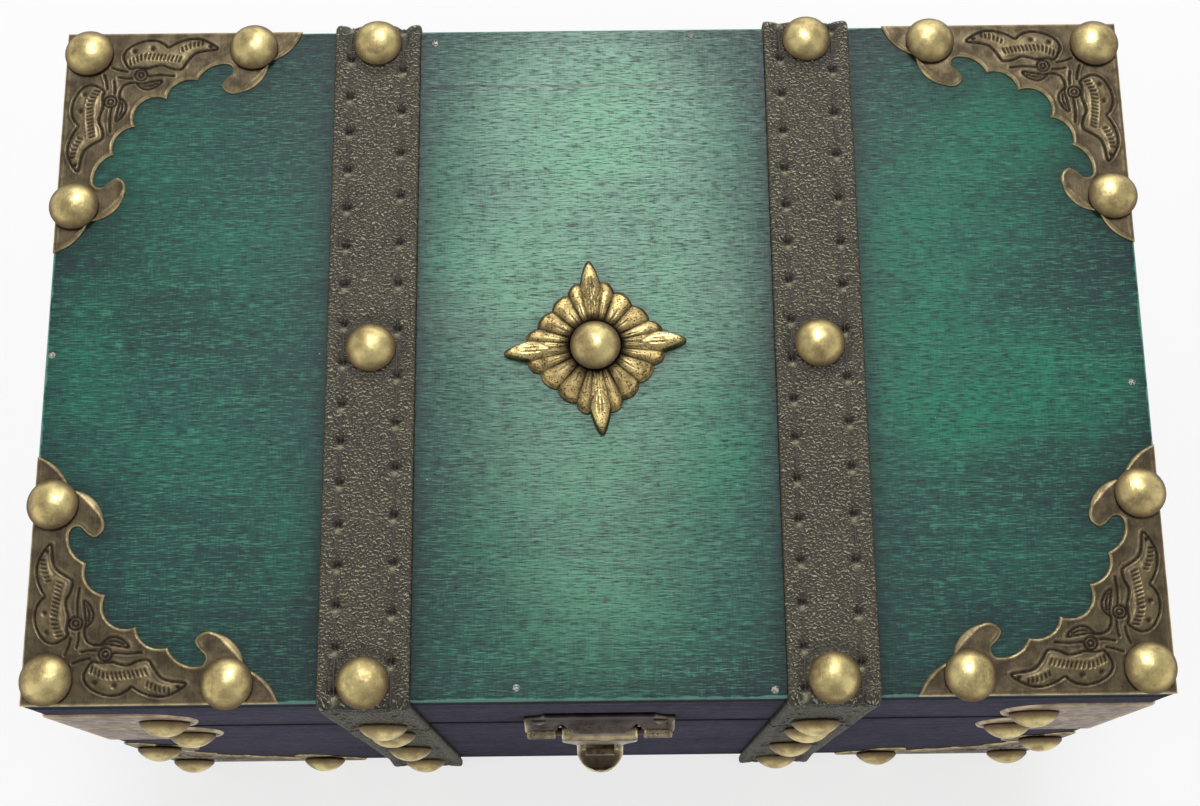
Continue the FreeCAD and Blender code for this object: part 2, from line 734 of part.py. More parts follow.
def parts():
    """Every piece of the box by its name."""
    sides = {"left": -1, "right": 1}
    ends = {"front": -1, "back": 1}
    lid_bracket_low = slit_roof + bracket_setback
    body_bracket_low = slit_floor - bracket_setback - bracket_height
    lid_rivets, body_rivets = latch_rivets()
    made = {
        "body_front_panel": body_front(),
        "body_back_panel": body_back(),
        "body_bottom_panel": body_bottom(),
        "lid_top_panel": lid_top(),
        "lid_fitting_nails": lid_fitting_nails(),
        "lid_strap_nails": lid_strap_nails(),
        "lid_bracket_nails": bracket_nails(lid_bracket_low),
        "body_fitting_nails": front_fitting_nails(),
        "body_strap_nails": body_strap_nails(),
        "body_bracket_nails": bracket_nails(body_bracket_low),
        "lid_rosette": rosette(),
        "lid_rosette_nail": rosette_nail(),
        "latch_lid_plate": latch_lid_plate(),
        "latch_pin": latch_pin(),
        "latch_flap": latch_flap(),
        "latch_catch_plate": latch_catch(),
        "latch_lid_rivets": lid_rivets,
        "latch_body_rivets": body_rivets,
    }
    for side_name, side in sides.items():
        made[f"body_{side_name}_panel"] = body_side(side)
        made[f"lid_{side_name}_rail"] = lid_short_rail(side)
        made[f"body_fitting_{side_name}"] = front_fitting(side)
    for end_name, end in ends.items():
        made[f"lid_{end_name}_rail"] = lid_long_rail(end)
        for side_name, side in sides.items():
            corner = f"{end_name}_{side_name}"
            made[f"lid_fitting_{corner}"] = lid_fitting(side, end)
            made[f"lid_bracket_{corner}"] = bracket(side, end, lid_bracket_low)
            made[f"body_bracket_{corner}"] = bracket(side, end, body_bracket_low)
    for side_name, place in zip(sides, strap_places):
        made[f"lid_strap_{side_name}"] = lid_strap(place)
        for end_name, end in ends.items():
            made[f"body_strap_{end_name}_{side_name}"] = body_strap(place, end)
    for side_name, place in zip(sides, hinge_places):
        made[f"hinge_lid_leaf_{side_name}"] = hinge_leaf_solid(place, 1)
        made[f"hinge_body_leaf_{side_name}"] = hinge_leaf_solid(place, -1)
        made[f"hinge_pin_{side_name}"] = hinge_pin(place)
    return made


os.makedirs("parts", exist_ok=True)
for name, solid in parts().items():
    solid.exportStep(f"parts/{name}.step")
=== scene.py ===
import logging
import math
from dataclasses import dataclass, field
from enum import Enum
from typing import Callable, Optional, Sequence, Union

import bmesh
import bpy
import numpy as np
from mathutils import Matrix, Vector
from mathutils.geometry import delaunay_2d_cdt


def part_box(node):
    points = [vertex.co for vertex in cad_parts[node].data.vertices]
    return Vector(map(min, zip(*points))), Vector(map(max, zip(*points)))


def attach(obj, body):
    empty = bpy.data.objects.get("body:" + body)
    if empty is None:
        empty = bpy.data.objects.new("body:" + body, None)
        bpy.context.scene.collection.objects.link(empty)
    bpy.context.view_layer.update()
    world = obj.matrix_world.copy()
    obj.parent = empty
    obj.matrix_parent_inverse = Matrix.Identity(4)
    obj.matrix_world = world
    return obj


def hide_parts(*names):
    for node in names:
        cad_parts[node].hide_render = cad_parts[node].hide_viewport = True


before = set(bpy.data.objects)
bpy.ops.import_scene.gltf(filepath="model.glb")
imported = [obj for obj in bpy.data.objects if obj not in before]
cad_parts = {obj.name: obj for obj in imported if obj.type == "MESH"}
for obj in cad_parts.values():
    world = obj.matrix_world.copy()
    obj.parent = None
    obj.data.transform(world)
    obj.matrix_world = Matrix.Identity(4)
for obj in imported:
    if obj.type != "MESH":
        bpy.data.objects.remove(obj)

# A wooden storage box with a hinged lid, leather straps, brass corner fittings and a front latch.
# Sizes are in millimetres unless a name says otherwise, and become metres where a mesh is made.

MM = 0.001
NOTHING = 1e-9
WHITE = (1.0, 1.0, 1.0, 1.0)
SIDES = (("left", -1), ("right", 1))
ENDS = (("front", -1), ("back", 1))
LOG = logging.getLogger("storage_box")
Array = np.ndarray
Material = bpy.types.Material
Node = bpy.types.Node
Socket = bpy.types.NodeSocket
Sockets = bpy.types.NodeOutputs
Value = Union[float, Sequence[float], Socket]
Pair = tuple[float, float]
Place = tuple[float, float, float]
Colour = tuple[float, float, float]
Scale = tuple[float, float, float]
Ramp = tuple[float, ...]


class Body(Enum):
    """The bodies that the joints move."""

    BOX = "box"
    LID = "lid"
    FLAP = "flap"


class Slot(Enum):
    """The record's material slots."""

    LID_WOOD = "lid_wood"
    BODY_WOOD = "body_wood"
    LEATHER = "leather"
    FITTING = "fitting_brass"
    BRACKET = "bracket_brass"
    NAIL = "nail_brass"
    HARDWARE = "hardware_brass"


class Grain(Enum):
    """Which way a board's grain runs, as the turn about Z that lays it along X."""

    ALONG_X = 0.0
    ALONG_Y = math.pi / 2


# Meshes


@dataclass
class Surface:
    """Points in millimetres, faces as rows of point numbers, and named values at the points."""

    points: Array
    faces: list
    fields: dict = field(default_factory=dict)


def grid_faces(rows: int, columns: int, wrap: bool = False, first: int = 0) -> Array:
    """Quads between neighbouring rows and columns of a grid of points.

    Args:
        rows: Rows of points.
        columns: Points in each row.
        wrap: Whether the last column joins the first.
        first: The number of the grid's first point.

    Returns:
        One row of four point numbers for each quad, anticlockwise where columns run right and rows up.
    """
    row = np.arange(rows - 1)[:, None] * columns
    column = np.arange(columns if wrap else columns - 1)[None, :]
    following = (column + 1) % columns
    corners = [row + column, row + following, row + columns + following, row + columns + column]
    return np.stack([corner.ravel() for corner in corners], axis=1) + first


def skin_faces(rows: int, columns: int) -> Array:
    """Quads of a closed skin: a grid, the same grid turned over as the next points, and the band between.

    Args:
        rows: Rows of points in each grid.
        columns: Points in each row.

    Returns:
        One row of four point numbers for each quad.
    """
    top = grid_faces(rows, columns)
    shift = rows * columns
    border = np.concatenate([np.arange(columns), np.arange(1, rows) * columns + columns - 1,
                             (rows - 1) * columns + np.arange(columns - 2, -1, -1),
                             np.arange(rows - 2, 0, -1) * columns])
    following = np.roll(border, -1)
    band = np.stack([following, border, border + shift, following + shift], axis=1)
    return np.concatenate([top, top[:, ::-1] + shift, band])


def tube_faces(rings: int, sides: int, both: bool = False) -> list:
    """Faces of a tube of point rings, closed at its last ring.

    Args:
        rings: Rings of points.
        sides: Points in each ring.
        both: Whether the first ring is closed too.

    Returns:
        Rows of point numbers.
    """
    start = [list(range(sides))[::-1]] if both else []
    end = [list(range((rings - 1) * sides, rings * sides))]
    return np_rows(grid_faces(rings, sides, True)) + start + end


def full_turn(sides: int) -> Array:
    """Evenly spaced angles round a full turn."""
    return np.linspace(0, 2 * math.pi, sides, endpoint=False)


def rounding(gap: Array, radius: float) -> Array:
    """How far a rounded edge lies below the flat: a quarter circle's drop within the radius of the edge."""
    short = np.clip(radius - gap, 0, radius)
    return radius - np.sqrt(radius ** 2 - short ** 2)


def bell(gap: Array, reach: float, power: int = 2) -> Array:
    """A bell: the exponential of minus a power of the gap over the reach, 1 where there is no gap."""
    return np.exp(-(gap / reach) ** power)


def fading(gap: Array, reach: float) -> Array:
    """The exponential of minus the gap over the reach: 1 at a line, and less away from it."""
    return np.exp(-gap / reach)


def ease(values: Array) -> Array:
    """A smooth step from 0 to 1: three times the square less twice the cube of the clipped value."""
    held = np.clip(values, 0, 1)
    return held * held * (3 - 2 * held)


def on_both(**fields: Array) -> dict:
    """Named values for a skin's outer points, and the same again for its inner points."""
    return {label: np.tile(values.ravel(), 2) for label, values in fields.items()}


def joined(surfaces: Sequence[Surface]) -> Surface:
    """Several surfaces as one, with the fields that all of them have.

    Args:
        surfaces: The surfaces.

    Returns:
        Their points and fields in order, and their faces with the point numbers moved on.
    """
    faces, first = [], 0
    for surface in surfaces:
        faces += [[number + first for number in face] for face in np_rows(surface.faces)]
        first += len(surface.points)
    names = set.intersection(*(set(surface.fields) for surface in surfaces))
    fields = {name: np.concatenate([surface.fields[name] for surface in surfaces]) for name in sorted(names)}
    return Surface(np.concatenate([surface.points for surface in surfaces]), faces, fields)


def revolved(middle: Array, axis: int, radii: Array, levels: Array, turns: Array,
             limit: float = np.inf) -> Array:
    """Points of a surface of revolution.

    Args:
        middle: A place on its axis.
        axis: The number of the axis that it stands along.
        radii: A row for each ring, with one radius or one for each turn.
        levels: Each ring's place along the axis.
        turns: The angles round the axis.
        limit: The points are held this near to the axis along each other axis.

    Returns:
        The points, ring by ring.
    """
    points = np.zeros((len(levels), len(turns), 3))
    first, second = [other for other in range(3) if other != axis]
    points[..., first] = middle[first] + np.clip(radii * np.cos(turns), -limit, limit)
    points[..., second] = middle[second] + np.clip(radii * np.sin(turns), -limit, limit)
    points[..., axis] = levels[:, None]
    return points.reshape(-1, 3)


def np_rows(faces: Union[Array, list]) -> list:
    """Faces as plain lists, whether they came as an array or as lists."""
    return faces.tolist() if isinstance(faces, Array) else [list(face) for face in faces]


def new_piece(name: str, surface: Surface, body: Body, finish: Material,
              replaces: Sequence[str] = (), weld: float = 0.001) -> bpy.types.Object:
    """Makes a smooth object of a surface, faces outward, in its finish, riding on its body.

    Args:
        name: The piece's name.
        surface: Its points, faces and fields.
        body: The body that it rides on.
        finish: Its material.
        replaces: The nodes that it stands for.
        weld: Points nearer than this, in millimetres, become one.

    Returns:
        The object.
    """
    mesh = bpy.data.meshes.new(name)
    mesh.from_pydata((surface.points * MM).tolist(), [], np_rows(surface.faces))
    for label, values in surface.fields.items():
        layer = mesh.attributes.new(label, "FLOAT", "POINT")
        layer.data.foreach_set("value", np.asarray(values, np.float32))
    shaped = bmesh.new()
    shaped.from_mesh(mesh)
    bmesh.ops.remove_doubles(shaped, verts=shaped.verts, dist=weld * MM)
    bmesh.ops.recalc_face_normals(shaped, faces=shaped.faces)
    shaped.to_mesh(mesh)
    shaped.free()
    mesh.shade_smooth()
    mesh.materials.append(finish)
    piece = placed_object(name, mesh)
    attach(piece, body.value)
    if replaces:
        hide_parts(*replaces)
    LOG.info("%s: %d faces on %s", name, len(mesh.polygons), body.value)
    return piece


def placed_object(name: str, data: bpy.types.ID) -> bpy.types.Object:
    """A new object, linked to the scene.

    Args:
        name: The object's name.
        data: Its mesh, lamp or camera.

    Returns:
        The object.
    """
    made = bpy.data.objects.new(name, data)
    bpy.context.scene.collection.objects.link(made)
    return made


def node_box(node: str) -> tuple[Array, Array]:
    """A node's lowest and highest corners in millimetres."""
    low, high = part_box(node)
    return np.array(low) / MM, np.array(high) / MM


def box_corner(low: Array, high: Array, side_x: int, side_y: int) -> Array:
    """The upright corner of a box on the given sides, as its X and Y."""
    return np.array([(low if side_x < 0 else high)[0], (low if side_y < 0 else high)[1]])


def node_points(node: str) -> Array:
    """A node's points in millimetres, one per row."""
    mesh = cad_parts[node].data
    points = np.zeros(len(mesh.vertices) * 3, np.float32)
    mesh.vertices.foreach_get("co", points)
    return points.reshape(-1, 3) / MM


def nail_boxes(node: str, reach: float = 15.0) -> list[tuple[Array, Array]]:
    """The lowest and highest corners of each nail of a node.

    Args:
        node: The node that holds the nails.
        reach: A nail's points are those within this of one of them, and no other nail is so near.

    Returns:
        A pair of corners in millimetres for each nail.
    """
    points = node_points(node)
    boxes = []
    while len(points):
        near = np.linalg.norm(points - points[0], axis=1) < reach
        boxes.append((points[near].min(axis=0), points[near].max(axis=0)))
        points = points[~near]
    return boxes


def smooth_line(points: Sequence[Sequence[float]], steps: int = 8, closed: bool = False) -> Array:
    """A curve through the points.

    Each stretch between two points is the cubic whose slope at a point is half the step from the
    point before it to the point after it.

    Args:
        points: The points in order.
        steps: Steps in each stretch.
        closed: Whether the curve returns to its first point.

    Returns:
        The curve's points, one per row.
    """
    knots = np.asarray(points, float)
    ends = (knots[-1:], knots[:2]) if closed else (2 * knots[:1] - knots[1:2], 2 * knots[-1:] - knots[-2:-1])
    padded = np.concatenate([ends[0], knots, ends[1]])
    before, start, end, after = padded[:-3], padded[1:-2], padded[2:-1], padded[3:]
    before, start, end, after = (part[:, None, :] for part in (before, start, end, after))
    share = np.linspace(0, 1, steps, endpoint=False)[None, :, None]
    curve = 0.5 * (2 * start + (end - before) * share
                   + (2 * before - 5 * start + 4 * end - after) * share ** 2
                   + (3 * start - before - 3 * end + after) * share ** 3)
    line = curve.reshape(-1, knots.shape[1])
    return np.concatenate([line, line[:1] if closed else knots[-1:]])


def closed_line(line: Array) -> Array:
    """A polyline with its first point again at its end."""
    return np.concatenate([line, line[:1]])


def travelled(line: Array) -> Array:
    """The distance along a polyline at each of its corners."""
    return np.concatenate([[0.0], np.cumsum(np.linalg.norm(np.diff(line, axis=0), axis=1))])


def at_stops(stops: Array, travel: Array, line: Array) -> Array:
    """A polyline's flat places, or other pairs kept at its corners, at distances along it."""
    return np.stack([np.interp(stops, travel, line[:, axis]) for axis in range(2)], axis=-1)


def distance_to_line(spots: Array, line: Array) -> Array:
    """Each spot's distance to a polyline: to the nearest point of its nearest stretch.

    Args:
        spots: Flat points, one per row.
        line: The polyline's corners, one per row.

    Returns:
        One distance for each spot.
    """
    nearest = np.full(len(spots), np.inf)
    for start, end in zip(line[:-1], line[1:]):
        along = end - start
        share = np.clip((spots - start) @ along / max(along @ along, NOTHING), 0, 1)
        nearest = np.minimum(nearest, np.linalg.norm(spots - start - share[:, None] * along, axis=1))
    return nearest


def inside_line(spots: Array, line: Array) -> Array:
    """Whether each spot is inside a closed polyline: a ray along X crosses it an odd number of times.

    Args:
        spots: The spots, one per row.
        line: The polyline, whose last corner is its first again.

    Returns:
        True or false for each spot.
    """
    inside = np.zeros(len(spots), bool)
    for start, end in zip(line[:-1], line[1:]):
        spans = (start[1] > spots[:, 1]) != (end[1] > spots[:, 1])
        if spans.any():
            slant = (end[0] - start[0]) / (end[1] - start[1])
            inside ^= spans & (spots[:, 0] < start[0] + (spots[:, 1] - start[1]) * slant)
    return inside


# Shader nodes


class Net:
    """Adds and joins the nodes of one material or node group."""

    def __init__(self, tree: bpy.types.NodeTree) -> None:
        """Keeps the tree that the nodes go into."""
        self.tree = tree

    def put(self, kind: str, inputs: Optional[dict] = None, **settings: object) -> Node:
        """Adds a node.

        Args:
            kind: Its type, without the leading ShaderNode.
            inputs: Socket names or numbers, and the value or the socket that feeds each.
            **settings: The node's own settings.

        Returns:
            The node.
        """
        node = self.tree.nodes.new("ShaderNode" + kind)
        for label, setting in settings.items():
            setattr(node, label, setting)
        for key, value in (inputs or {}).items():
            self.feed(node.inputs[key], value)
        return node

    def feed(self, socket: Socket, value: Value) -> None:
        """Joins a socket to another socket, or sets its value.

        Args:
            socket: The input socket.
            value: The socket that feeds it, or its value. A colour may leave out its fourth number.
        """
        if isinstance(value, Socket):
            self.tree.links.new(value, socket)
        else:
            socket.default_value = (*value, 1.0) if socket.type == "RGBA" and len(value) == 3 else value

    def maths(self, operation: str, first: Value, second: Value = 0.0) -> Socket:
        """The result of one operation on two numbers."""
        return self.put("Math", {0: first, 1: second}, operation=operation).outputs[0]

    def times(self, first: Value, second: Value) -> Socket:
        """The product of two numbers."""
        return self.maths("MULTIPLY", first, second)

    def plus(self, first: Value, second: Value) -> Socket:
        """The sum of two numbers."""
        return self.maths("ADD", first, second)

    def less(self, first: Value, second: Value) -> Socket:
        """The first number less the second."""
        return self.maths("SUBTRACT", first, second)

    def blend(self, share: Value, first: Value, second: Value, mode: str = "MIX") -> Socket:
        """Two colours mixed by a share.

        Args:
            share: The second colour's share.
            first: The first colour.
            second: The second colour.
            mode: The way that the second is laid over the first.

        Returns:
            The mixed colour.
        """
        node = self.put("Mix", data_type="RGBA", blend_type=mode)
        for label, value in (("Factor_Float", share), ("A_Color", first), ("B_Color", second)):
            self.feed(next(socket for socket in node.inputs if socket.identifier == label), value)
        return next(socket for socket in node.outputs if socket.identifier == "Result_Color")

    def step(self, value: Value, start: float, end: float, low: float = 0.0, high: float = 1.0) -> Socket:
        """A number eased from low to high as the value goes from start to end."""
        inputs = {"Value": value, "From Min": start, "From Max": end, "To Min": low, "To Max": high}
        return self.put("MapRange", inputs, interpolation_type="SMOOTHSTEP").outputs[0]

    def noise(self, vector: Value, scale: Union[float, Scale], detail: float = 3.0, rough: float = 0.5,
              turn: float = 0.0) -> Socket:
        """Cloudy noise from 0 to 1.

        Args:
            vector: The coordinates.
            scale: How fine it is, as one number or as one for each axis, after the turn.
            detail: How many finer layers it has.
            rough: How strong the finer layers are.
            turn: The turn about Z.

        Returns:
            The noise.
        """
        if isinstance(scale, tuple):
            vector, scale = self.stretched(vector, scale, turn), 1.0
        inputs = {"Vector": vector, "Scale": scale, "Detail": detail, "Roughness": rough}
        return self.put("TexNoise", inputs).outputs[0]

    def stretched(self, vector: Value, scale: Scale, turn: float = 0.0) -> Socket:
        """Coordinates turned about Z and then scaled along each axis."""
        turned = self.put("Mapping", {"Vector": vector, "Rotation": (0.0, 0.0, turn)}).outputs[0]
        return self.put("Mapping", {"Vector": turned, "Scale": scale}).outputs[0]

    def moved(self, vector: Value, offset: Value) -> Socket:
        """Coordinates moved by an offset."""
        return self.put("VectorMath", {0: vector, 1: offset}, operation="ADD").outputs[0]

    def scaled(self, vector: Value, scale: float) -> Socket:
        """Coordinates times a number."""
        return self.put("VectorMath", {0: vector, "Scale": scale}, operation="SCALE").outputs[0]

    def parts(self, vector: Value) -> Sockets:
        """A vector's X, Y and Z."""
        return self.put("SeparateXYZ", {0: vector}).outputs

    def millimetres(self) -> Socket:
        """The piece's own coordinates, in millimetres."""
        return self.scaled(self.put("TexCoord").outputs["Object"], 1 / MM)

    def attribute(self, label: str) -> Socket:
        """A named value that the mesh carries at its points."""
        return self.put("Attribute", attribute_name=label).outputs["Fac"]

    def placed(self, group: bpy.types.NodeTree, **inputs: Value) -> Sockets:
        """Adds a node that runs a group.

        Args:
            group: The group.
            inputs: The group's inputs, each under its own name in small letters.

        Returns:
            The node's outputs.
        """
        node = self.put("Group", node_tree=group)
        for key, value in inputs.items():
            self.feed(node.inputs[key.capitalize()], value)
        return node.outputs


def node_group(name: str, inputs: dict, outputs: dict,
               fill: Callable[[Net, Sockets], dict]) -> bpy.types.NodeTree:
    """Builds a shader node group with named inputs and outputs.

    Args:
        name: The group's name.
        inputs: Each input's name and its default, whose form settles the socket's kind.
        outputs: Each output's name and its kind of socket.
        fill: Adds the nodes and returns the socket for each output's name.

    Returns:
        The group.
    """
    tree = bpy.data.node_groups.new(name, "ShaderNodeTree")
    for label, default in inputs.items():
        kind = "NodeSocketVector" if isinstance(default, tuple) else "NodeSocketFloat"
        socket = tree.interface.new_socket(name=label, in_out="INPUT", socket_type=kind)
        socket.default_value = default
    for label, kind in outputs.items():
        tree.interface.new_socket(name=label, in_out="OUTPUT", socket_type=kind)
    net = Net(tree)
    given = tree.nodes.new("NodeGroupInput")
    result = tree.nodes.new("NodeGroupOutput")
    for label, socket in fill(net, given.outputs).items():
        tree.links.new(socket, result.inputs[label])
    return tree


@dataclass
class Effects:
    """The node groups that several finishes share. Their scales are for noise in millimetres."""

    grain: bpy.types.NodeTree = field(init=False)
    wear: bpy.types.NodeTree = field(init=False)
    tarnish: bpy.types.NodeTree = field(init=False)
    dust: bpy.types.NodeTree = field(init=False)

    def __post_init__(self) -> None:
        """Builds each group once."""
        place = {"Vector": (0.0, 0.0, 0.0)}
        self.grain = self._group("fine_grain", {**place, "Turn": 0.0},
                                 ("Streaks", "Pores", "Figure", "Height"), self._fill_grain)
        self.wear = self._group("edge_wear", {**place, "Distance": 10.0, "Width": 0.5, "Patchiness": 0.5},
                                ("Mask",), self._fill_wear)
        self.tarnish = self._group("tarnish", {**place, "Amount": 0.5}, ("Clouds", "Specks", "Scratches"),
                                   self._fill_tarnish)
        self.dust = self._group("dust", {**place, "Amount": 0.5}, ("Mask",), self._fill_dust)

    @staticmethod
    def _group(name: str, inputs: dict, outputs: Sequence[str],
               fill: Callable[[Net, Sockets], dict]) -> bpy.types.NodeTree:
        """A group whose outputs are all numbers."""
        return node_group(name, inputs, {label: "NodeSocketFloat" for label in outputs}, fill)

    @staticmethod
    def _fill_grain(net: Net, given: Sockets) -> dict:
        """Fine broken streaks along the grain with a faint cross weave, short pores and slow figure.

        Args:
            net: The group's nodes.
            given: The group's inputs.

        Returns:
            The socket for each output's name.
        """
        fine_share, broad_share, weave_share, pore_share = 0.62, 0.22, 0.16, 0.45
        turned = net.put("VectorRotate", {"Vector": given["Vector"], "Angle": given["Turn"]},
                         rotation_type="Z_AXIS").outputs[0]
        fine = net.noise(turned, (0.34, 3.2, 3.2), 2.0, 0.55)
        broad = net.noise(turned, (0.030, 0.60, 0.60), 3.0, 0.6)
        weave = net.noise(turned, (2.6, 0.30, 2.6), 2.0)
        dashes = net.noise(turned, (0.42, 3.7, 3.7), 2.0)
        crossed = net.plus(net.times(broad, broad_share), net.times(weave, weave_share))
        streaks = net.plus(net.times(fine, fine_share), crossed)
        pores = net.step(dashes, start=0.58, end=0.70)
        return {"Streaks": streaks, "Pores": pores, "Figure": net.noise(turned, (0.018, 0.035, 0.035)),
                "Height": net.less(streaks, net.times(pores, pore_share))}

    @staticmethod
    def _fill_wear(net: Net, given: Sockets) -> dict:
        """A mask along the edges whose reach wanders with noise between none and twice the width.

        Args:
            net: The group's nodes.
            given: The group's inputs.

        Returns:
            The socket for each output's name.
        """
        noise_gain, least_reach = 4.0, 0.02
        wander = net.noise(given["Vector"], (0.35, 0.35, 0.35), 4.0, 0.6)
        spread = net.times(net.less(wander, 0.5), given["Patchiness"])
        reach = net.times(given["Width"], net.plus(1.0, net.times(spread, noise_gain)))
        ratio = net.maths("DIVIDE", given["Distance"], net.maths("MAXIMUM", reach, least_reach))
        return {"Mask": net.step(ratio, start=0.45, end=1.25, low=1.0, high=0.0)}

    @staticmethod
    def _fill_tarnish(net: Net, given: Sockets) -> dict:
        """Soft dark clouds, small dark specks where fine noise passes a limit, and fine scratches.

        Args:
            net: The group's nodes.
            given: The group's inputs.

        Returns:
            The socket for each output's name.
        """
        bare_limit, limit_drop, speck_edge, scratch_turn = 0.82, 0.26, 0.07, 0.4
        clouds = net.noise(given["Vector"], (0.32, 0.32, 0.32), 5.0, 0.6)
        fine = net.noise(given["Vector"], (2.6, 2.6, 2.6), 2.0)
        limit = net.less(bare_limit, net.times(given["Amount"], limit_drop))
        over = net.maths("DIVIDE", net.less(fine, limit), speck_edge)
        return {"Clouds": net.step(clouds, start=0.36, end=0.66),
                "Specks": net.put("Clamp", {"Value": over}).outputs[0],
                "Scratches": net.noise(given["Vector"], (4.5, 0.35, 4.5), 2.0, 0.6, scratch_turn)}

    @staticmethod
    def _fill_dust(net: Net, given: Sockets) -> dict:
        """Sparse pale specks: round cells whose radius is small, and none where slow noise is low.

        Args:
            net: The group's nodes.
            given: The group's inputs.

        Returns:
            The socket for each output's name.
        """
        cell_scale, patch_scale, largest, least = 0.28, 0.11, 0.085, 0.001
        cells = net.put("TexVoronoi", {"Vector": given["Vector"], "Scale": cell_scale}).outputs["Distance"]
        size = net.step(net.noise(given["Vector"], patch_scale, 2.0), start=0.46, end=0.72)
        reach = net.times(size, net.times(given["Amount"], largest))
        ratio = net.maths("DIVIDE", cells, net.maths("MAXIMUM", reach, least))
        return {"Mask": net.step(ratio, start=0.6, end=1.0, low=1.0, high=0.0)}


def new_material(name: str) -> tuple[Material, Net, Node]:
    """A material with a bare principled shader.

    Args:
        name: The material's name.

    Returns:
        The material, its net and its principled shader.
    """
    material = bpy.data.materials.new(name)
    material.use_nodes = True
    material.node_tree.nodes.clear()
    net = Net(material.node_tree)
    shader = net.put("BsdfPrincipled")
    output = net.put("OutputMaterial")
    material.node_tree.links.new(shader.outputs[0], output.inputs["Surface"])
    return material, net, shader


def bumped(net: Net, shader: Node, height: Socket, depth: float, strength: float = 1.0) -> None:
    """Feeds the shader's normal from a height whose full range is the depth in millimetres."""
    bump = net.put("Bump", {"Height": height, "Distance": depth * MM, "Strength": strength})
    net.feed(shader.inputs["Normal"], bump.outputs["Normal"])


def dimmed(colour: Colour, share: float) -> Colour:
    """A colour times a number."""
    return tuple(share * part for part in colour)


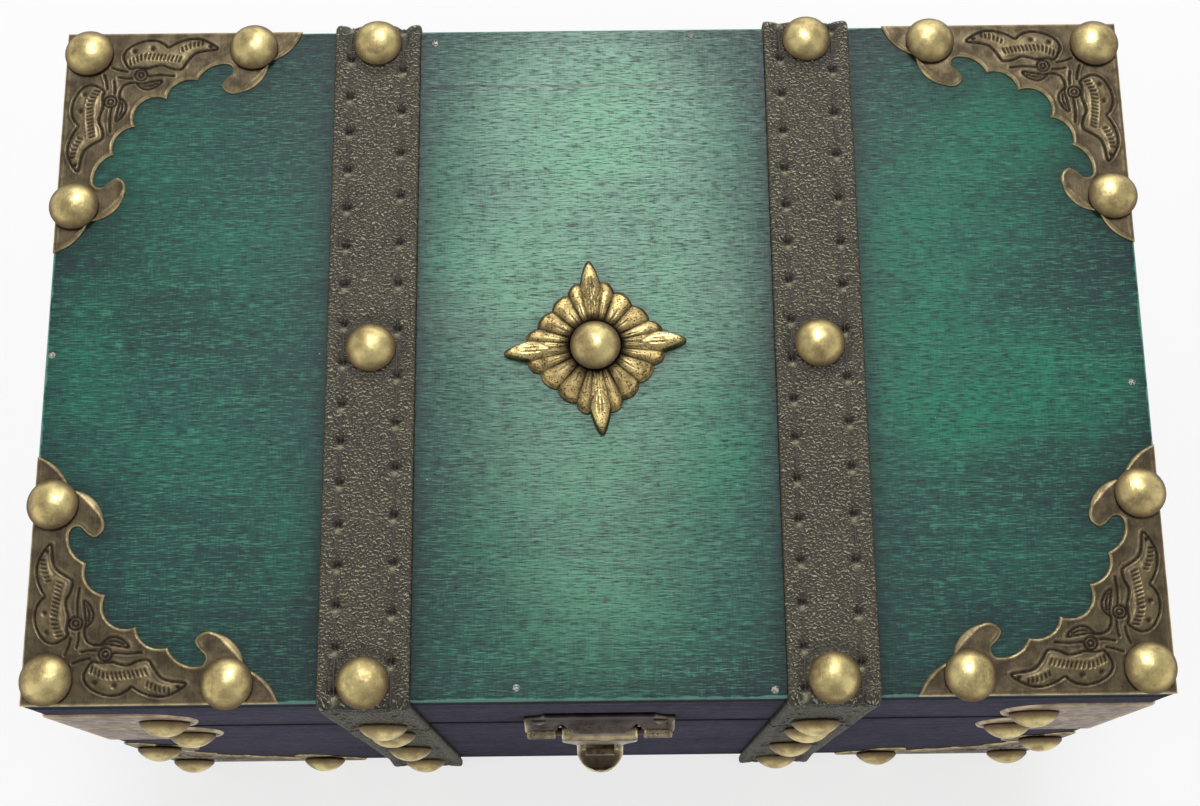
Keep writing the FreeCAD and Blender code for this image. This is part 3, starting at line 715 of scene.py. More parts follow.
@dataclass(frozen=True)
class StainedWood:
    """Stained and varnished veneer: stain colours, grain, darkened margins partly painted shade, a painted
    sheen and worn edges.

    A ramp holds where a blend starts and ends, and then its share at the start and at the end.
    """

    name: str
    deep: Colour
    full: Colour
    bright: Colour
    margin: Colour
    worn: Colour
    lit: Colour
    painted_sheen_tone: Colour
    ply: Colour
    inside: Colour
    grain: Grain = Grain.ALONG_X
    edge_grain: bool = False
    specular: float = 0.46
    rough: float = 0.34
    dust_tone: Colour = (0.62, 0.70, 0.60)
    mottle_scale: Scale = (0.016, 0.024, 0.024)
    patch_scale: Scale = (0.07, 0.085, 0.085)
    mottled: Ramp = (0.28, 0.68)
    figured: Ramp = (0.50, 0.78, 0.0, 0.5)
    figure_patches: Ramp = (0.35, 0.7, 0.2, 0.9)
    glow_patches: Ramp = (0.30, 0.66, 0.35, 1.0)
    painted_sheen_ramp: Ramp = (0.25, 0.7, 0.55, 1.0)
    shade_patches: Ramp = (0.2, 0.8, 0.80, 1.0)
    dark_streaks: Ramp = (0.38, 0.50, 0.90, 0.0)
    pale_streaks: Ramp = (0.51, 0.62, 0.0, 0.85)
    slit_shade_streaks: Ramp = (0.30, 0.62, 1.0, 0.78)
    plain_streaks: Ramp = (0.35, 0.65)
    pore_share: float = 0.78
    wear_share: float = 0.75
    dust_share: float = 0.55
    slit_shade_tone: float = 0.25
    raw_lift: float = 1.6
    raw_rough: float = 0.2
    dull_share: float = 0.55
    shiny_share: float = 1.1
    relief: float = 0.10
    relief_strength: float = 0.85
    split_depth: float = 63.0
    split_half: float = 42.0
    split_wander: float = 5.0
    ply_pitch: float = 2.3
    ply_wander: float = 0.7

    def build(self, effects: Effects) -> Material:
        """The finish as a material.

        Args:
            effects: The shared node groups.

        Returns:
            The material. It reads these values of the board's points: edge, shade, slit, glow, pale,
            side and inside.
        """
        material, net, shader = new_material(self.name)
        place = net.millimetres()
        grain = net.placed(effects.grain, vector=place, turn=self.grain.value)
        streaks, inner = grain["Streaks"], net.attribute("inside")
        colour = self._stain(net, place, grain)
        if self.edge_grain:
            colour = self._split(net, place, self._ply_layers(net, place, colour))
        # Painted shade in the slit between the lid and the body: a dark band either side of it.
        slit = net.times(net.attribute("slit"), net.step(streaks, *self.slit_shade_streaks))
        wear = net.placed(effects.wear, vector=place, distance=net.attribute("edge"), width=0.55,
                          patchiness=0.75)["Mask"]
        colour = net.blend(net.times(wear, self.wear_share), colour, self.worn)
        colour = net.blend(slit, colour, dimmed(self.margin, self.slit_shade_tone))
        dust = net.placed(effects.dust, vector=place, amount=0.6)["Mask"]
        colour = net.blend(net.times(dust, self.dust_share), colour, self.dust_tone)
        pale_raw = dimmed(self.inside, self.raw_lift)
        raw = net.blend(net.step(streaks, *self.plain_streaks), self.inside, pale_raw)
        net.feed(shader.inputs["Base Color"], net.blend(inner, colour, raw))
        rough = net.step(streaks, *self.plain_streaks, self.rough + 0.10, self.rough - 0.08)
        net.feed(shader.inputs["Roughness"], net.plus(rough, net.times(inner, self.raw_rough)))
        polish = net.step(net.attribute("pale"), 0.0, 0.6, self.dull_share * self.specular,
                          self.shiny_share * self.specular)
        unpolished = net.maths("MAXIMUM", inner, net.attribute("side"))
        net.feed(shader.inputs["Specular IOR Level"], net.times(polish, net.less(1.0, unpolished)))
        bumped(net, shader, grain["Height"], self.relief, self.relief_strength)
        return material

    def _stain(self, net: Net, place: Socket, grain: Sockets) -> Socket:
        """The colour: a mottled stain, greener in patches, streaked and pored, paler in patches as a painted
        sheen that also strengthens its pale streaks, and dark at its margins, partly as painted shade.

        Args:
            net: The material's net.
            place: The coordinates in millimetres.
            grain: The grain group's outputs.

        Returns:
            The colour.
        """
        patches = net.noise(place, self.patch_scale, 4.0, 0.62)
        mottle = net.step(net.noise(place, self.mottle_scale, 4.0), *self.mottled)
        colour = net.blend(mottle, self.deep, self.full)
        cloud = net.times(net.step(grain["Figure"], *self.figured), net.step(patches, *self.figure_patches))
        glow = net.times(net.attribute("glow"), net.step(patches, *self.glow_patches))
        colour = net.blend(net.maths("MAXIMUM", cloud, glow), colour, self.bright)
        # Painted sheen: paler in patches on the lid's middle, as a lamp's sheen off the varnish would light
        # it.
        pale = net.times(net.attribute("pale"), net.step(patches, *self.painted_sheen_ramp))
        colour = net.blend(pale, colour, self.painted_sheen_tone)
        colour = net.blend(net.step(grain["Streaks"], *self.dark_streaks), colour, self.deep)
        # Pale grain streaks, made stronger so that they also stand for a painted sheen off the grain.
        colour = net.blend(net.step(grain["Streaks"], *self.pale_streaks), colour, self.lit)
        colour = net.blend(net.times(grain["Pores"], self.pore_share), colour, self.margin)
        # Darker margins at the edges, and painted shade beside the straps, the fittings and the rosette.
        shade = net.times(net.attribute("shade"), net.step(patches, *self.shade_patches))
        return net.blend(shade, colour, self.margin)

    def _split(self, net: Net, place: Socket, colour: Socket) -> Socket:
        """A hairline split of the veneer: a dark broken line that wanders about one depth.

        Args:
            net: The material's net.
            place: The coordinates in millimetres.
            colour: The colour so far.

        Returns:
            The colour with the line, between the straps only.
        """
        parts = net.parts(place)
        wander = net.noise(place, (0.045, 0.0, 0.0), 4.0, 0.6)
        middle = net.plus(net.times(net.less(wander, 0.5), self.split_wander), self.split_depth)
        off = net.maths("ABSOLUTE", net.less(parts["Y"], middle))
        within = net.step(net.maths("ABSOLUTE", parts["X"]), self.split_half - 6.0, self.split_half, 1.0, 0.0)
        broken = net.step(net.noise(place, (0.11, 0.0, 0.0), 2.0), 0.38, 0.52, 0.15, 1.0)
        line = net.times(net.step(off, 0.10, 0.42, 0.85, 0.0), net.times(within, broken))
        return net.blend(line, colour, self.margin)

    def _ply_layers(self, net: Net, place: Socket, colour: Socket) -> Socket:
        """The layers on the top board's sides: bands by a sine of the height, which wanders a little.

        Args:
            net: The material's net.
            place: The coordinates in millimetres.
            colour: The colour so far.

        Returns:
            The colour with the layers on the faces that don't look up or down.
        """
        height, on_side = net.parts(place)["Z"], net.attribute("side")
        wander = net.times(net.less(net.noise(place, (0.05, 0.05, 0.3), 2.0), 0.5), self.ply_wander)
        band = net.maths("SINE", net.times(net.plus(height, wander), 2 * math.pi / self.ply_pitch))
        dark = net.times(net.step(band, -0.9, -0.1, 0.95, 0.10), on_side)
        return net.blend(dark, net.blend(on_side, colour, self.ply), self.margin)


@dataclass(frozen=True)
class Leather:
    """Pebbled strap leather: dark hollows, painted highlights and painted shade on the pebbles' slopes, dark
    pressed stitch rows with painted shade in the holes, and painted highlights on the lips beside them.
    """

    name: str
    deep: Colour
    full: Colour
    worn: Colour
    # rubbed: also the colour of the painted highlights on the pebbles' slopes and on the stitch lips.
    rubbed: Colour
    dust_tone: Colour = (0.5, 0.5, 0.42)
    pebble_scale: Scale = (1.55, 1.95, 1.0)
    slope_step: Scale = (0.05, 0.34, 0.0)
    fine_scale: Scale = (4.6, 4.0, 1.0)
    bend: float = 1.6
    fine_share: float = 0.30
    calm_share: float = 0.8
    blotched: Ramp = (0.35, 0.68)
    pebbled: Ramp = (0.32, 0.68)
    hollows: Ramp = (0.0, 0.50, 0.85, 0.0)
    shadows: Ramp = (-0.13, -0.02, 0.80, 0.0)
    highlights: Ramp = (0.055, 0.16, 0.0, 0.95)
    pressed_and_shade_share: float = 0.92
    raised_highlight_share: float = 0.65
    wear_share: float = 0.45
    dust_share: float = 0.4
    # Painted shade on the straps' upright faces.
    upright_painted_shade: Ramp = (0.15, 0.85, 0.24, 0.0)
    upright_shine: Ramp = (0.15, 0.85, 0.08, 0.42)
    roughness: Ramp = (0.0, 0.9, 0.62, 0.42)
    relief: float = 0.22
    relief_strength: float = 0.9

    def build(self, effects: Effects) -> Material:
        """The finish as a material.

        The pebbles are noise in bent coordinates. Their slope is the same noise a small step away less the
        noise here: it gets a painted highlight where it rises one way and painted shade where it rises the
        other.

        Args:
            effects: The shared node groups.

        Returns:
            The material. It reads the strap's edge, pressed and raised values and its own UV map.
        """
        material, net, shader = new_material(self.name)
        place = net.scaled(net.put("UVMap", uv_map="strap").outputs[0], 1 / MM)
        drift = net.put("CombineXYZ", {0: net.noise(place, 0.35, 3.0, 0.6), 1: net.noise(place, 0.5, 2.0)})
        spread = net.stretched(net.moved(place, net.scaled(drift.outputs[0], self.bend)), self.pebble_scale)
        wrinkles = net.noise(spread, 1.0, 1.5)
        slope = net.less(net.noise(net.moved(spread, self.slope_step), 1.0, 1.5), wrinkles)
        pressed, facing = net.attribute("pressed"), net.parts(net.put("TexCoord").outputs["Normal"])["Z"]
        whole = net.less(1.0, net.times(pressed, self.calm_share))
        pebble = net.times(net.step(wrinkles, *self.pebbled), whole)
        wear = net.placed(effects.wear, vector=place, distance=net.attribute("edge"), width=0.5,
                          patchiness=0.8)["Mask"]
        dust = net.placed(effects.dust, vector=place, amount=0.55)["Mask"]
        colour = net.blend(net.step(net.noise(place, 0.06, 4.0, 0.6), *self.blotched), self.full, self.worn)
        for share, tone in ((net.step(pebble, *self.hollows), self.deep),
                            # Painted shade and painted highlights on the pebbles' slopes.
                            (net.times(net.step(slope, *self.shadows), whole), self.deep),
                            (net.times(net.step(slope, *self.highlights), whole), self.rubbed),
                            # Pressed rows darkened, with painted shade in the holes and nail hollows, and
                            # painted highlights on the raised lips.
                            (net.times(pressed, self.pressed_and_shade_share), self.deep),
                            (net.times(net.attribute("raised"), self.raised_highlight_share), self.rubbed),
                            (net.times(wear, self.wear_share), self.worn),
                            (net.times(dust, self.dust_share), self.dust_tone),
                            (net.step(facing, *self.upright_painted_shade), self.deep)):
            colour = net.blend(share, colour, tone)
        net.feed(shader.inputs["Base Color"], colour)
        net.feed(shader.inputs["Roughness"], net.step(pebble, *self.roughness))
        net.feed(shader.inputs["Specular IOR Level"], net.step(facing, *self.upright_shine))
        fine = net.times(net.noise(place, self.fine_scale, 2.0, 0.6), self.fine_share)
        bumped(net, shader, net.plus(pebble, fine), self.relief, self.relief_strength)
        return material


@dataclass(frozen=True)
class Brass:
    """Antique brass: a warm body, a dark patina in the hollows with painted shade on some pieces, and bright
    rubbed edges with painted highlights on some pieces.
    """

    name: str
    full: Colour
    bright: Colour
    patina: Colour
    rough: float = 0.34
    specks: float = 0.5
    clouding: float = 0.5
    brushed: float = 0.0
    dented: float = 1.2
    metal: float = 1.0
    brush_scale: Scale = (4.4, 0.16, 4.4)
    dent_scale: Scale = (0.75, 0.75, 0.75)
    bright_brushing: Ramp = (0.45, 0.75, 0.0)
    dark_brushing: Ramp = (0.30, 0.5)
    brush_bright: float = 0.55
    brush_dark: float = 0.5
    clouded_rub: Ramp = (0.0, 1.0, 1.0, 0.55)
    speck_share: float = 0.8
    speck_tone: float = 0.35
    dulling: float = 0.28
    polishing: float = -0.10
    relief: float = 0.05
    relief_strength: float = 0.55

    def build(self, effects: Effects) -> Material:
        """The finish as a material.

        Args:
            effects: The shared node groups.

        Returns:
            The material. It reads the piece's hollow and rub values where its mesh carries them.
        """
        material, net, shader = new_material(self.name)
        place = net.millimetres()
        old = net.placed(effects.tarnish, vector=place, amount=self.specks)
        brushing = net.noise(place, self.brush_scale, 3.0, 0.6)
        dents = net.noise(place, self.dent_scale, 3.0, 0.6)
        hollow = net.attribute("hollow")
        ragged = net.times(net.attribute("rub"), net.step(old["Clouds"], *self.clouded_rub))
        colour = self.full
        for share, tone in (
                (net.times(old["Clouds"], self.clouding), self.patina),
                (net.step(brushing, *self.bright_brushing, self.brush_bright * self.brushed), self.bright),
                (net.step(brushing, *self.dark_brushing, self.brush_dark * self.brushed, 0.0), self.patina),
                # Rubbed and hollow values: wear and patina, and on some pieces also painted highlights and
                # painted shade.
                (ragged, self.bright),
                (hollow, self.patina),
                (net.times(old["Specks"], self.speck_share), dimmed(self.patina, self.speck_tone))):
            colour = net.blend(share, colour, tone)
        net.feed(shader.inputs["Base Color"], colour)
        dull = net.times(net.maths("MAXIMUM", net.times(old["Clouds"], 0.5), hollow), self.dulling)
        net.feed(shader.inputs["Roughness"],
                 net.plus(net.plus(dull, net.times(ragged, self.polishing)), self.rough))
        shader.inputs["Metallic"].default_value = self.metal
        marks = net.plus(net.times(old["Scratches"], 0.5),
                         net.less(net.times(brushing, self.brushed), old["Specks"]))
        bumped(net, shader, net.plus(marks, net.times(dents, self.dented)), self.relief, self.relief_strength)
        return material


@dataclass(frozen=True)
class Thread:
    """Waxed sewing thread with a fine twist."""

    name: str
    full: Colour
    dust_tone: Colour = (0.3, 0.28, 0.24)
    twist_scale: Scale = (3.0, 3.0, 3.0)
    shadow: float = 0.5
    rough: float = 0.6
    relief: float = 0.08
    relief_strength: float = 0.8

    def build(self, effects: Effects) -> Material:
        """The finish as a material, lightened in patches by the shared dust.

        Args:
            effects: The shared node groups.

        Returns:
            The material.
        """
        material, net, shader = new_material(self.name)
        place = net.millimetres()
        twist = net.noise(place, self.twist_scale, 2.0)
        dust = net.placed(effects.dust, vector=place, amount=0.8)["Mask"]
        colour = net.blend(twist, dimmed(self.full, self.shadow), self.full)
        net.feed(shader.inputs["Base Color"], net.blend(dust, colour, self.dust_tone))
        shader.inputs["Roughness"].default_value = self.rough
        bumped(net, shader, twist, self.relief, self.relief_strength)
        return material


@dataclass(frozen=True)
class Ground:
    """The pale floor, shown whiter than its light to the camera and in reflections."""

    name: str
    tone: float
    mottling: float = 1.02
    mottle_scale: float = 0.004
    rough: float = 0.9
    specular: float = 0.1
    whitening: float = 0.72

    def build(self) -> Material:
        """The finish as a material.

        Returns:
            The material: matt and faintly mottled, mixed with white for the rays that are seen.
        """
        material, net, shader = new_material(self.name)
        mottle = net.noise(net.millimetres(), self.mottle_scale, 2.0)
        plain, lifted = ((tone,) * 3 for tone in (self.tone, self.tone * self.mottling))
        net.feed(shader.inputs["Base Color"], net.blend(mottle, plain, lifted))
        shader.inputs["Roughness"].default_value = self.rough
        shader.inputs["Specular IOR Level"].default_value = self.specular
        path = net.put("LightPath").outputs
        seen = net.maths("MAXIMUM", path["Is Camera Ray"],
                         net.maths("MAXIMUM", path["Is Glossy Ray"], path["Is Transmission Ray"]))
        white = net.put("Emission", {"Color": WHITE, "Strength": 1.0})
        shown = net.put("MixShader", {0: net.times(seen, self.whitening), 1: shader.outputs[0],
                                      2: white.outputs[0]})
        output = next(node for node in material.node_tree.nodes if node.type == "OUTPUT_MATERIAL")
        net.feed(output.inputs["Surface"], shown.outputs[0])
        return material


@dataclass
class Finishes:
    """Every finish of the box, built once."""

    effects: Effects = field(default_factory=Effects)

    lid_top: Material = field(init=False)
    lid_rail: Material = field(init=False)
    lid_end: Material = field(init=False)
    wall: Material = field(init=False)
    wall_end: Material = field(init=False)
    leather: Material = field(init=False)
    thread: Material = field(init=False)
    fitting: Material = field(init=False)
    rosette: Material = field(init=False)
    bracket: Material = field(init=False)
    nail: Material = field(init=False)
    latch: Material = field(init=False)
    latch_dark: Material = field(init=False)
    hinge: Material = field(init=False)
    brad: Material = field(init=False)

    def __post_init__(self) -> None:
        """Builds the materials from their colours."""
        raw = (0.060, 0.034, 0.018)
        stain = {"deep": (0.021, 0.046, 0.047), "full": (0.026, 0.112, 0.092),
                 "bright": (0.012, 0.275, 0.150), "lit": (0.082, 0.310, 0.200),
                 "painted_sheen_tone": (0.080, 0.420, 0.190), "margin": (0.006, 0.014, 0.017),
                 "worn": (0.14, 0.36, 0.27), "ply": (0.070, 0.074, 0.092), "inside": raw}
        matt = {"deep": (0.080, 0.075, 0.106), "full": (0.114, 0.107, 0.152),
                "bright": (0.132, 0.136, 0.176), "lit": (0.160, 0.164, 0.200), "painted_sheen_tone": (0.09, 0.10, 0.11),
                "margin": (0.024, 0.022, 0.030), "worn": (0.12, 0.15, 0.15), "ply": (0.07, 0.07, 0.09),
                "inside": raw, "specular": 0.0, "rough": 0.55}
        made = {
            "lid_top": StainedWood("lid_top_stain", edge_grain=True, **stain),
            "lid_rail": StainedWood("lid_rail_stain", **matt),
            "lid_end": StainedWood("lid_end_stain", grain=Grain.ALONG_Y, **matt),
            "wall": StainedWood("wall_stain", **matt),
            "wall_end": StainedWood("wall_end_stain", grain=Grain.ALONG_Y, **matt),
            # The leather's rubbed colour is also its painted highlight.
            "leather": Leather("strap_leather", deep=(0.011, 0.009, 0.008), full=(0.052, 0.042, 0.029),
                               worn=(0.076, 0.064, 0.040), rubbed=(0.47, 0.46, 0.29)),
            "thread": Thread("strap_thread", (0.085, 0.070, 0.056)),
            "fitting": Brass("fitting_brass", full=(0.130, 0.102, 0.062), bright=(0.62, 0.49, 0.25),
                             patina=(0.036, 0.028, 0.021), rough=0.40, specks=0.50, clouding=0.66,
                             brushed=0.10, dented=1.6),
            "rosette": Brass("rosette_brass", full=(0.38, 0.28, 0.115), bright=(0.74, 0.59, 0.27),
                             patina=(0.040, 0.028, 0.018), rough=0.37, specks=1.0, clouding=0.70, dented=2.0),
            "bracket": Brass("bracket_brass", full=(0.29, 0.215, 0.155), bright=(0.56, 0.45, 0.29),
                             patina=(0.090, 0.062, 0.048), rough=0.44, specks=0.5, clouding=0.5,
                             brushed=0.10),
            "nail": Brass("nail_brass", full=(0.60, 0.475, 0.205), bright=(0.93, 0.80, 0.38),
                          patina=(0.13, 0.086, 0.052), rough=0.38, specks=0.45, clouding=0.62, brushed=0.35,
                          dented=3.0, metal=0.96),
            "latch": Brass("latch_brass", full=(0.30, 0.235, 0.14), bright=(0.66, 0.55, 0.32),
                           patina=(0.045, 0.034, 0.028), rough=0.34, specks=0.6, clouding=0.8),
            "hinge": Brass("hinge_brass", full=(0.34, 0.26, 0.14), bright=(0.60, 0.48, 0.27),
                           patina=(0.060, 0.045, 0.030), rough=0.38, specks=0.4, clouding=0.55),
            "brad": Brass("brad_steel", full=(0.34, 0.34, 0.31), bright=(0.52, 0.52, 0.48),
                          patina=(0.07, 0.07, 0.06), rough=0.62, specks=1.2, clouding=0.9, dented=4.0),
            "latch_dark": Brass("latch_patina", full=(0.105, 0.080, 0.066), bright=(0.60, 0.50, 0.30),
                                patina=(0.030, 0.022, 0.022), rough=0.36, specks=0.9, clouding=0.8)}
        for name, finish in made.items():
            setattr(self, name, finish.build(self.effects))


# Sub-assemblies


def block_lines(low: float, high: float, radius: float, pitch: float) -> Array:
    """Places along one side of a block: close together at both rounded ends, even between them.

    Args:
        low: The side's start.
        high: Its end.
        radius: The rounding's radius.
        pitch: The spacing between the ends.

    Returns:
        The places in order.
    """
    round_places = np.linspace(0, 1, 5) * radius
    skirt = np.array([1.6, 2.6, 4.2, 7.0])
    near = np.concatenate([round_places, skirt[skirt < (high - low) / 4]])
    count = max(int(round((high - low - 2 * near[-1]) / pitch)), 1)
    middle = np.linspace(low + near[-1], high - near[-1], count + 1)[1:-1]
    return np.concatenate([low + near, middle, high - near[::-1]])


def rounded_block(low: Array, high: Array, radius: float, pitch: float) -> Surface:
    """A board with rounded edges.

    Each point of the plain box's surface is held inside the box drawn in by the radius, and then
    moved out from there by the radius, towards where it was.

    Args:
        low: The lowest corner.
        high: The highest corner.
        radius: The edges' radius.
        pitch: The spacing of the lines across the flats.

    Returns:
        The surface, with each point's distance to the nearest edge.
    """
    lines = [block_lines(low[axis], high[axis], radius, pitch) for axis in range(3)]
    points, faces, first = [], [], 0
    for axis in range(3):
        across, up = [other for other in range(3) if other != axis]
        for level, flip in ((low[axis], axis != 1), (high[axis], axis == 1)):
            grid = np.zeros((len(lines[up]), len(lines[across]), 3))
            grid[..., axis] = level
            grid[..., across] = lines[across][None, :]
            grid[..., up] = lines[up][:, None]
            quads = grid_faces(len(lines[up]), len(lines[across]), first=first)
            faces.append(quads[:, ::-1] if flip else quads)
            points.append(grid.reshape(-1, 3))
            first += grid.shape[0] * grid.shape[1]
    raw = np.concatenate(points)
    gaps = np.sort(np.concatenate([raw - low, high - raw], axis=1), axis=1)
    held = np.clip(raw, low + radius, high - radius)
    away = raw - held
    away /= np.maximum(np.linalg.norm(away, axis=1, keepdims=True), NOTHING)
    return Surface(held + away * radius, np.concatenate(faces), {"edge": gaps[:, 1]})


@dataclass
class Carcass:
    """The box's boards: the body's walls and bottom, and the lid's top and rails.

    A patch of greener stain in the glows, and of painted sheen in the painted sheen spots, is its middle, its
    reach along X and along Y, and its strength. A shade is its strength and its reach.
    """

    finishes: Finishes
    edge_radius: float = 0.6
    pitch: float = 6.0
    top_pitch: float = 1.5
    slit_shade_reach: float = 1.7
    inner_reach: float = 0.4
    side_fades: Pair = (0.3, 0.5)
    shoulder_share: float = 0.4
    wall_shade: Pair = (0.35, 9.0)
    edge_shades: tuple = ((0.42, 7.0),)
    # Painted shade beside the straps, the fittings and the rosette.
    strap_shades: tuple = ((0.80, 2.0), (0.38, 10.0))
    fitting_shades: tuple = ((0.50, 2.2), (0.30, 9.0))
    rosette_shades: tuple = ((0.55, 2.8),)
    fitting_span: float = 40.0
    rosette_span: float = 17.5
    glows: tuple = (
        (28, -22, 11, 15, 0.9), (-31, 22, 15, 9, 0.8), (-33, 41, 9, 7, 0.5), (22, 48, 16, 10, 0.4),
        (66, 6, 14, 24, 0.9), (73, -14, 20, 13, 0.9), (100, -8, 22, 13, 0.8), (78, 28, 22, 16, 0.55),
        (92, 52, 24, 18, 0.8), (88, -46, 16, 10, 0.25), (-112, -2, 9, 20, 0.45), (-84, 22, 22, 16, 0.40),
        (-100, 42, 12, 10, 0.35), (-66, -44, 8, 12, 0.40), (-88, -24, 18, 10, 0.30),
        (-25, -46, 15, 12, 0.25), (2, -63, 26, 8, 0.30))
    # Painted sheen: where the lid's middle is painted paler, as a lamp's sheen on the varnish would make it.
    painted_sheen_spots: tuple = ((0, 52, 26, 26, 1.0), (-16, 14, 18, 20, 0.75), (16, 12, 18, 22, 0.75),
                    (-2, -24, 24, 22, 0.62), (0, -54, 20, 16, 0.42))

    def build(self) -> None:
        """Makes every board in place of its node."""
        finishes = self.finishes
        for name, body, slot, long_finish, end_finish, flat, flat_finish in (
                ("body_{}_panel", Body.BOX, Slot.BODY_WOOD, finishes.wall, finishes.wall_end,
                 "body_bottom_panel", finishes.wall),
                ("lid_{}_rail", Body.LID, Slot.LID_WOOD, finishes.lid_rail, finishes.lid_end,
                 "lid_top_panel", finishes.lid_top)):
            for places, finish in ((ENDS, long_finish), (SIDES, end_finish)):
                for place, _ in places:
                    self._board(name.format(place), body, slot, finish)
            self._board(flat, body, slot, flat_finish)

    def _board(self, node: str, body: Body, slot: Slot, finish: Material) -> None:
        """One board. Its inner side, its side faces, the painted shade at the slit, its margins and its
        patches are fields.

        Args:
            node: The board's node.
            body: The body that it rides on.
            slot: The record's slot. It is not used.
            finish: Its material.
        """
        low, high = node_box(node)
        top = node == "lid_top_panel"
        surface = rounded_block(low, high, self.edge_radius, self.top_pitch if top else self.pitch)
        points, fields = surface.points, surface.fields
        fields["inside"] = self._inner(node, points, low, high)
        foot, shoulder = self.side_fades
        upright = (ease((points[:, 2] - low[2]) / foot)
                   * ease((high[2] - self.edge_radius * self.shoulder_share - points[:, 2]) / shoulder))
        fields["side"] = upright if top else np.zeros(len(points))
        # slit: painted shade along the gap between the lid and the body.
        slit = (node_box("body_front_panel")[1][2] + node_box("lid_front_rail")[0][2]) / 2
        fields["slit"] = bell(points[:, 2] - slit, self.slit_shade_reach, 4) * (1 - fields["inside"])
        # shade: darker towards the edges, and painted shade beside what lies on the lid.
        fields["shade"] = self._margins(points, fields["edge"], top)
        fields["glow"] = self._patches(points, self.glows if top else ())
        # pale: the painted sheen, which also raises the varnish's specular there.
        fields["pale"] = self._patches(points, self.painted_sheen_spots if top else ())
        new_piece(node.replace("_panel", "_board").replace("_rail", "_side"), surface, body, finish,
                  [node], weld=0.02)

    def _inner(self, node: str, points: Array, low: Array, high: Array) -> Array:
        """1 on the face that looks into the box and 0 on the rest.

        Args:
            node: The board's node, whose name says where it is.
            points: The board's points.
            low: Its lowest corner.
            high: Its highest corner.

        Returns:
            One value for each point.
        """
        faces = {"front": (1, high, 1), "back": (1, low, -1), "left": (0, high, 1), "right": (0, low, -1),
                 "bottom": (2, high, 1), "top": (2, low, -1)}
        axis, corner, side = next(row for word, row in faces.items() if f"_{word}_" in node)
        return ease(1 - (corner[axis] - points[:, axis]) * side / self.inner_reach)

    @staticmethod
    def _patches(points: Array, patches: Sequence[Sequence[float]]) -> Array:
        """Where the stain differs and where the painted sheen lies: bells about the patches' middles, joined
        as one less a product.

        Args:
            points: The board's points.
            patches: The patches.

        Returns:
            One value for each point.
        """
        clear = np.ones(len(points))
        for x, y, wide, deep, strength in patches:
            clear *= 1 - strength * bell(np.hypot((points[:, 0] - x) / wide, (points[:, 1] - y) / deep), 1.0)
        return 1 - clear

    def _margins(self, points: Array, edge: Array, top: bool) -> Array:
        """How dark the board is: darkest at its edges and fading inward, and on the lid painted shade that
        fades out from the straps, the fittings and the rosette.

        The shade is one less the product, over every line that darkens it, of one less the exponential of
        minus the distance over the reach.

        Args:
            points: The board's points.
            edge: Their distances to the nearest edge.
            top: Whether this is the lid's top board.

        Returns:
            One value for each point.
        """
        if not top:
            strength, reach = self.wall_shade
            return strength * fading(edge, reach)
        lines = [(edge, self.edge_shades)]
        for side, _ in SIDES:
            low, high = node_box(f"lid_strap_{side}")
            gap = np.maximum(np.maximum(low[0] - points[:, 0], points[:, 0] - high[0]), 0)
            lines.append((gap, self.strap_shades))
        low, high = node_box("lid_fitting_back_right")
        outline = CornerFitting(high[0] - low[0], high[2] - low[2]).outline()
        folded = high[None, :2] - np.abs(points[:, :2])
        near = np.flatnonzero(folded.min(axis=1) < self.fitting_span)
        gap = np.full(len(points), np.inf)
        gap[near] = distance_to_line(folded[near], closed_line(outline))
        lines.append((gap, self.fitting_shades))
        rosette = np.maximum(np.abs(points[:, :2]).sum(axis=1) - self.rosette_span, 0)
        lines.append((rosette, self.rosette_shades))
        clear = np.prod([1 - strength * fading(gap, reach)
                         for gap, shades in lines for strength, reach in shades], axis=0)
        return np.clip(1 - clear, 0, 1)


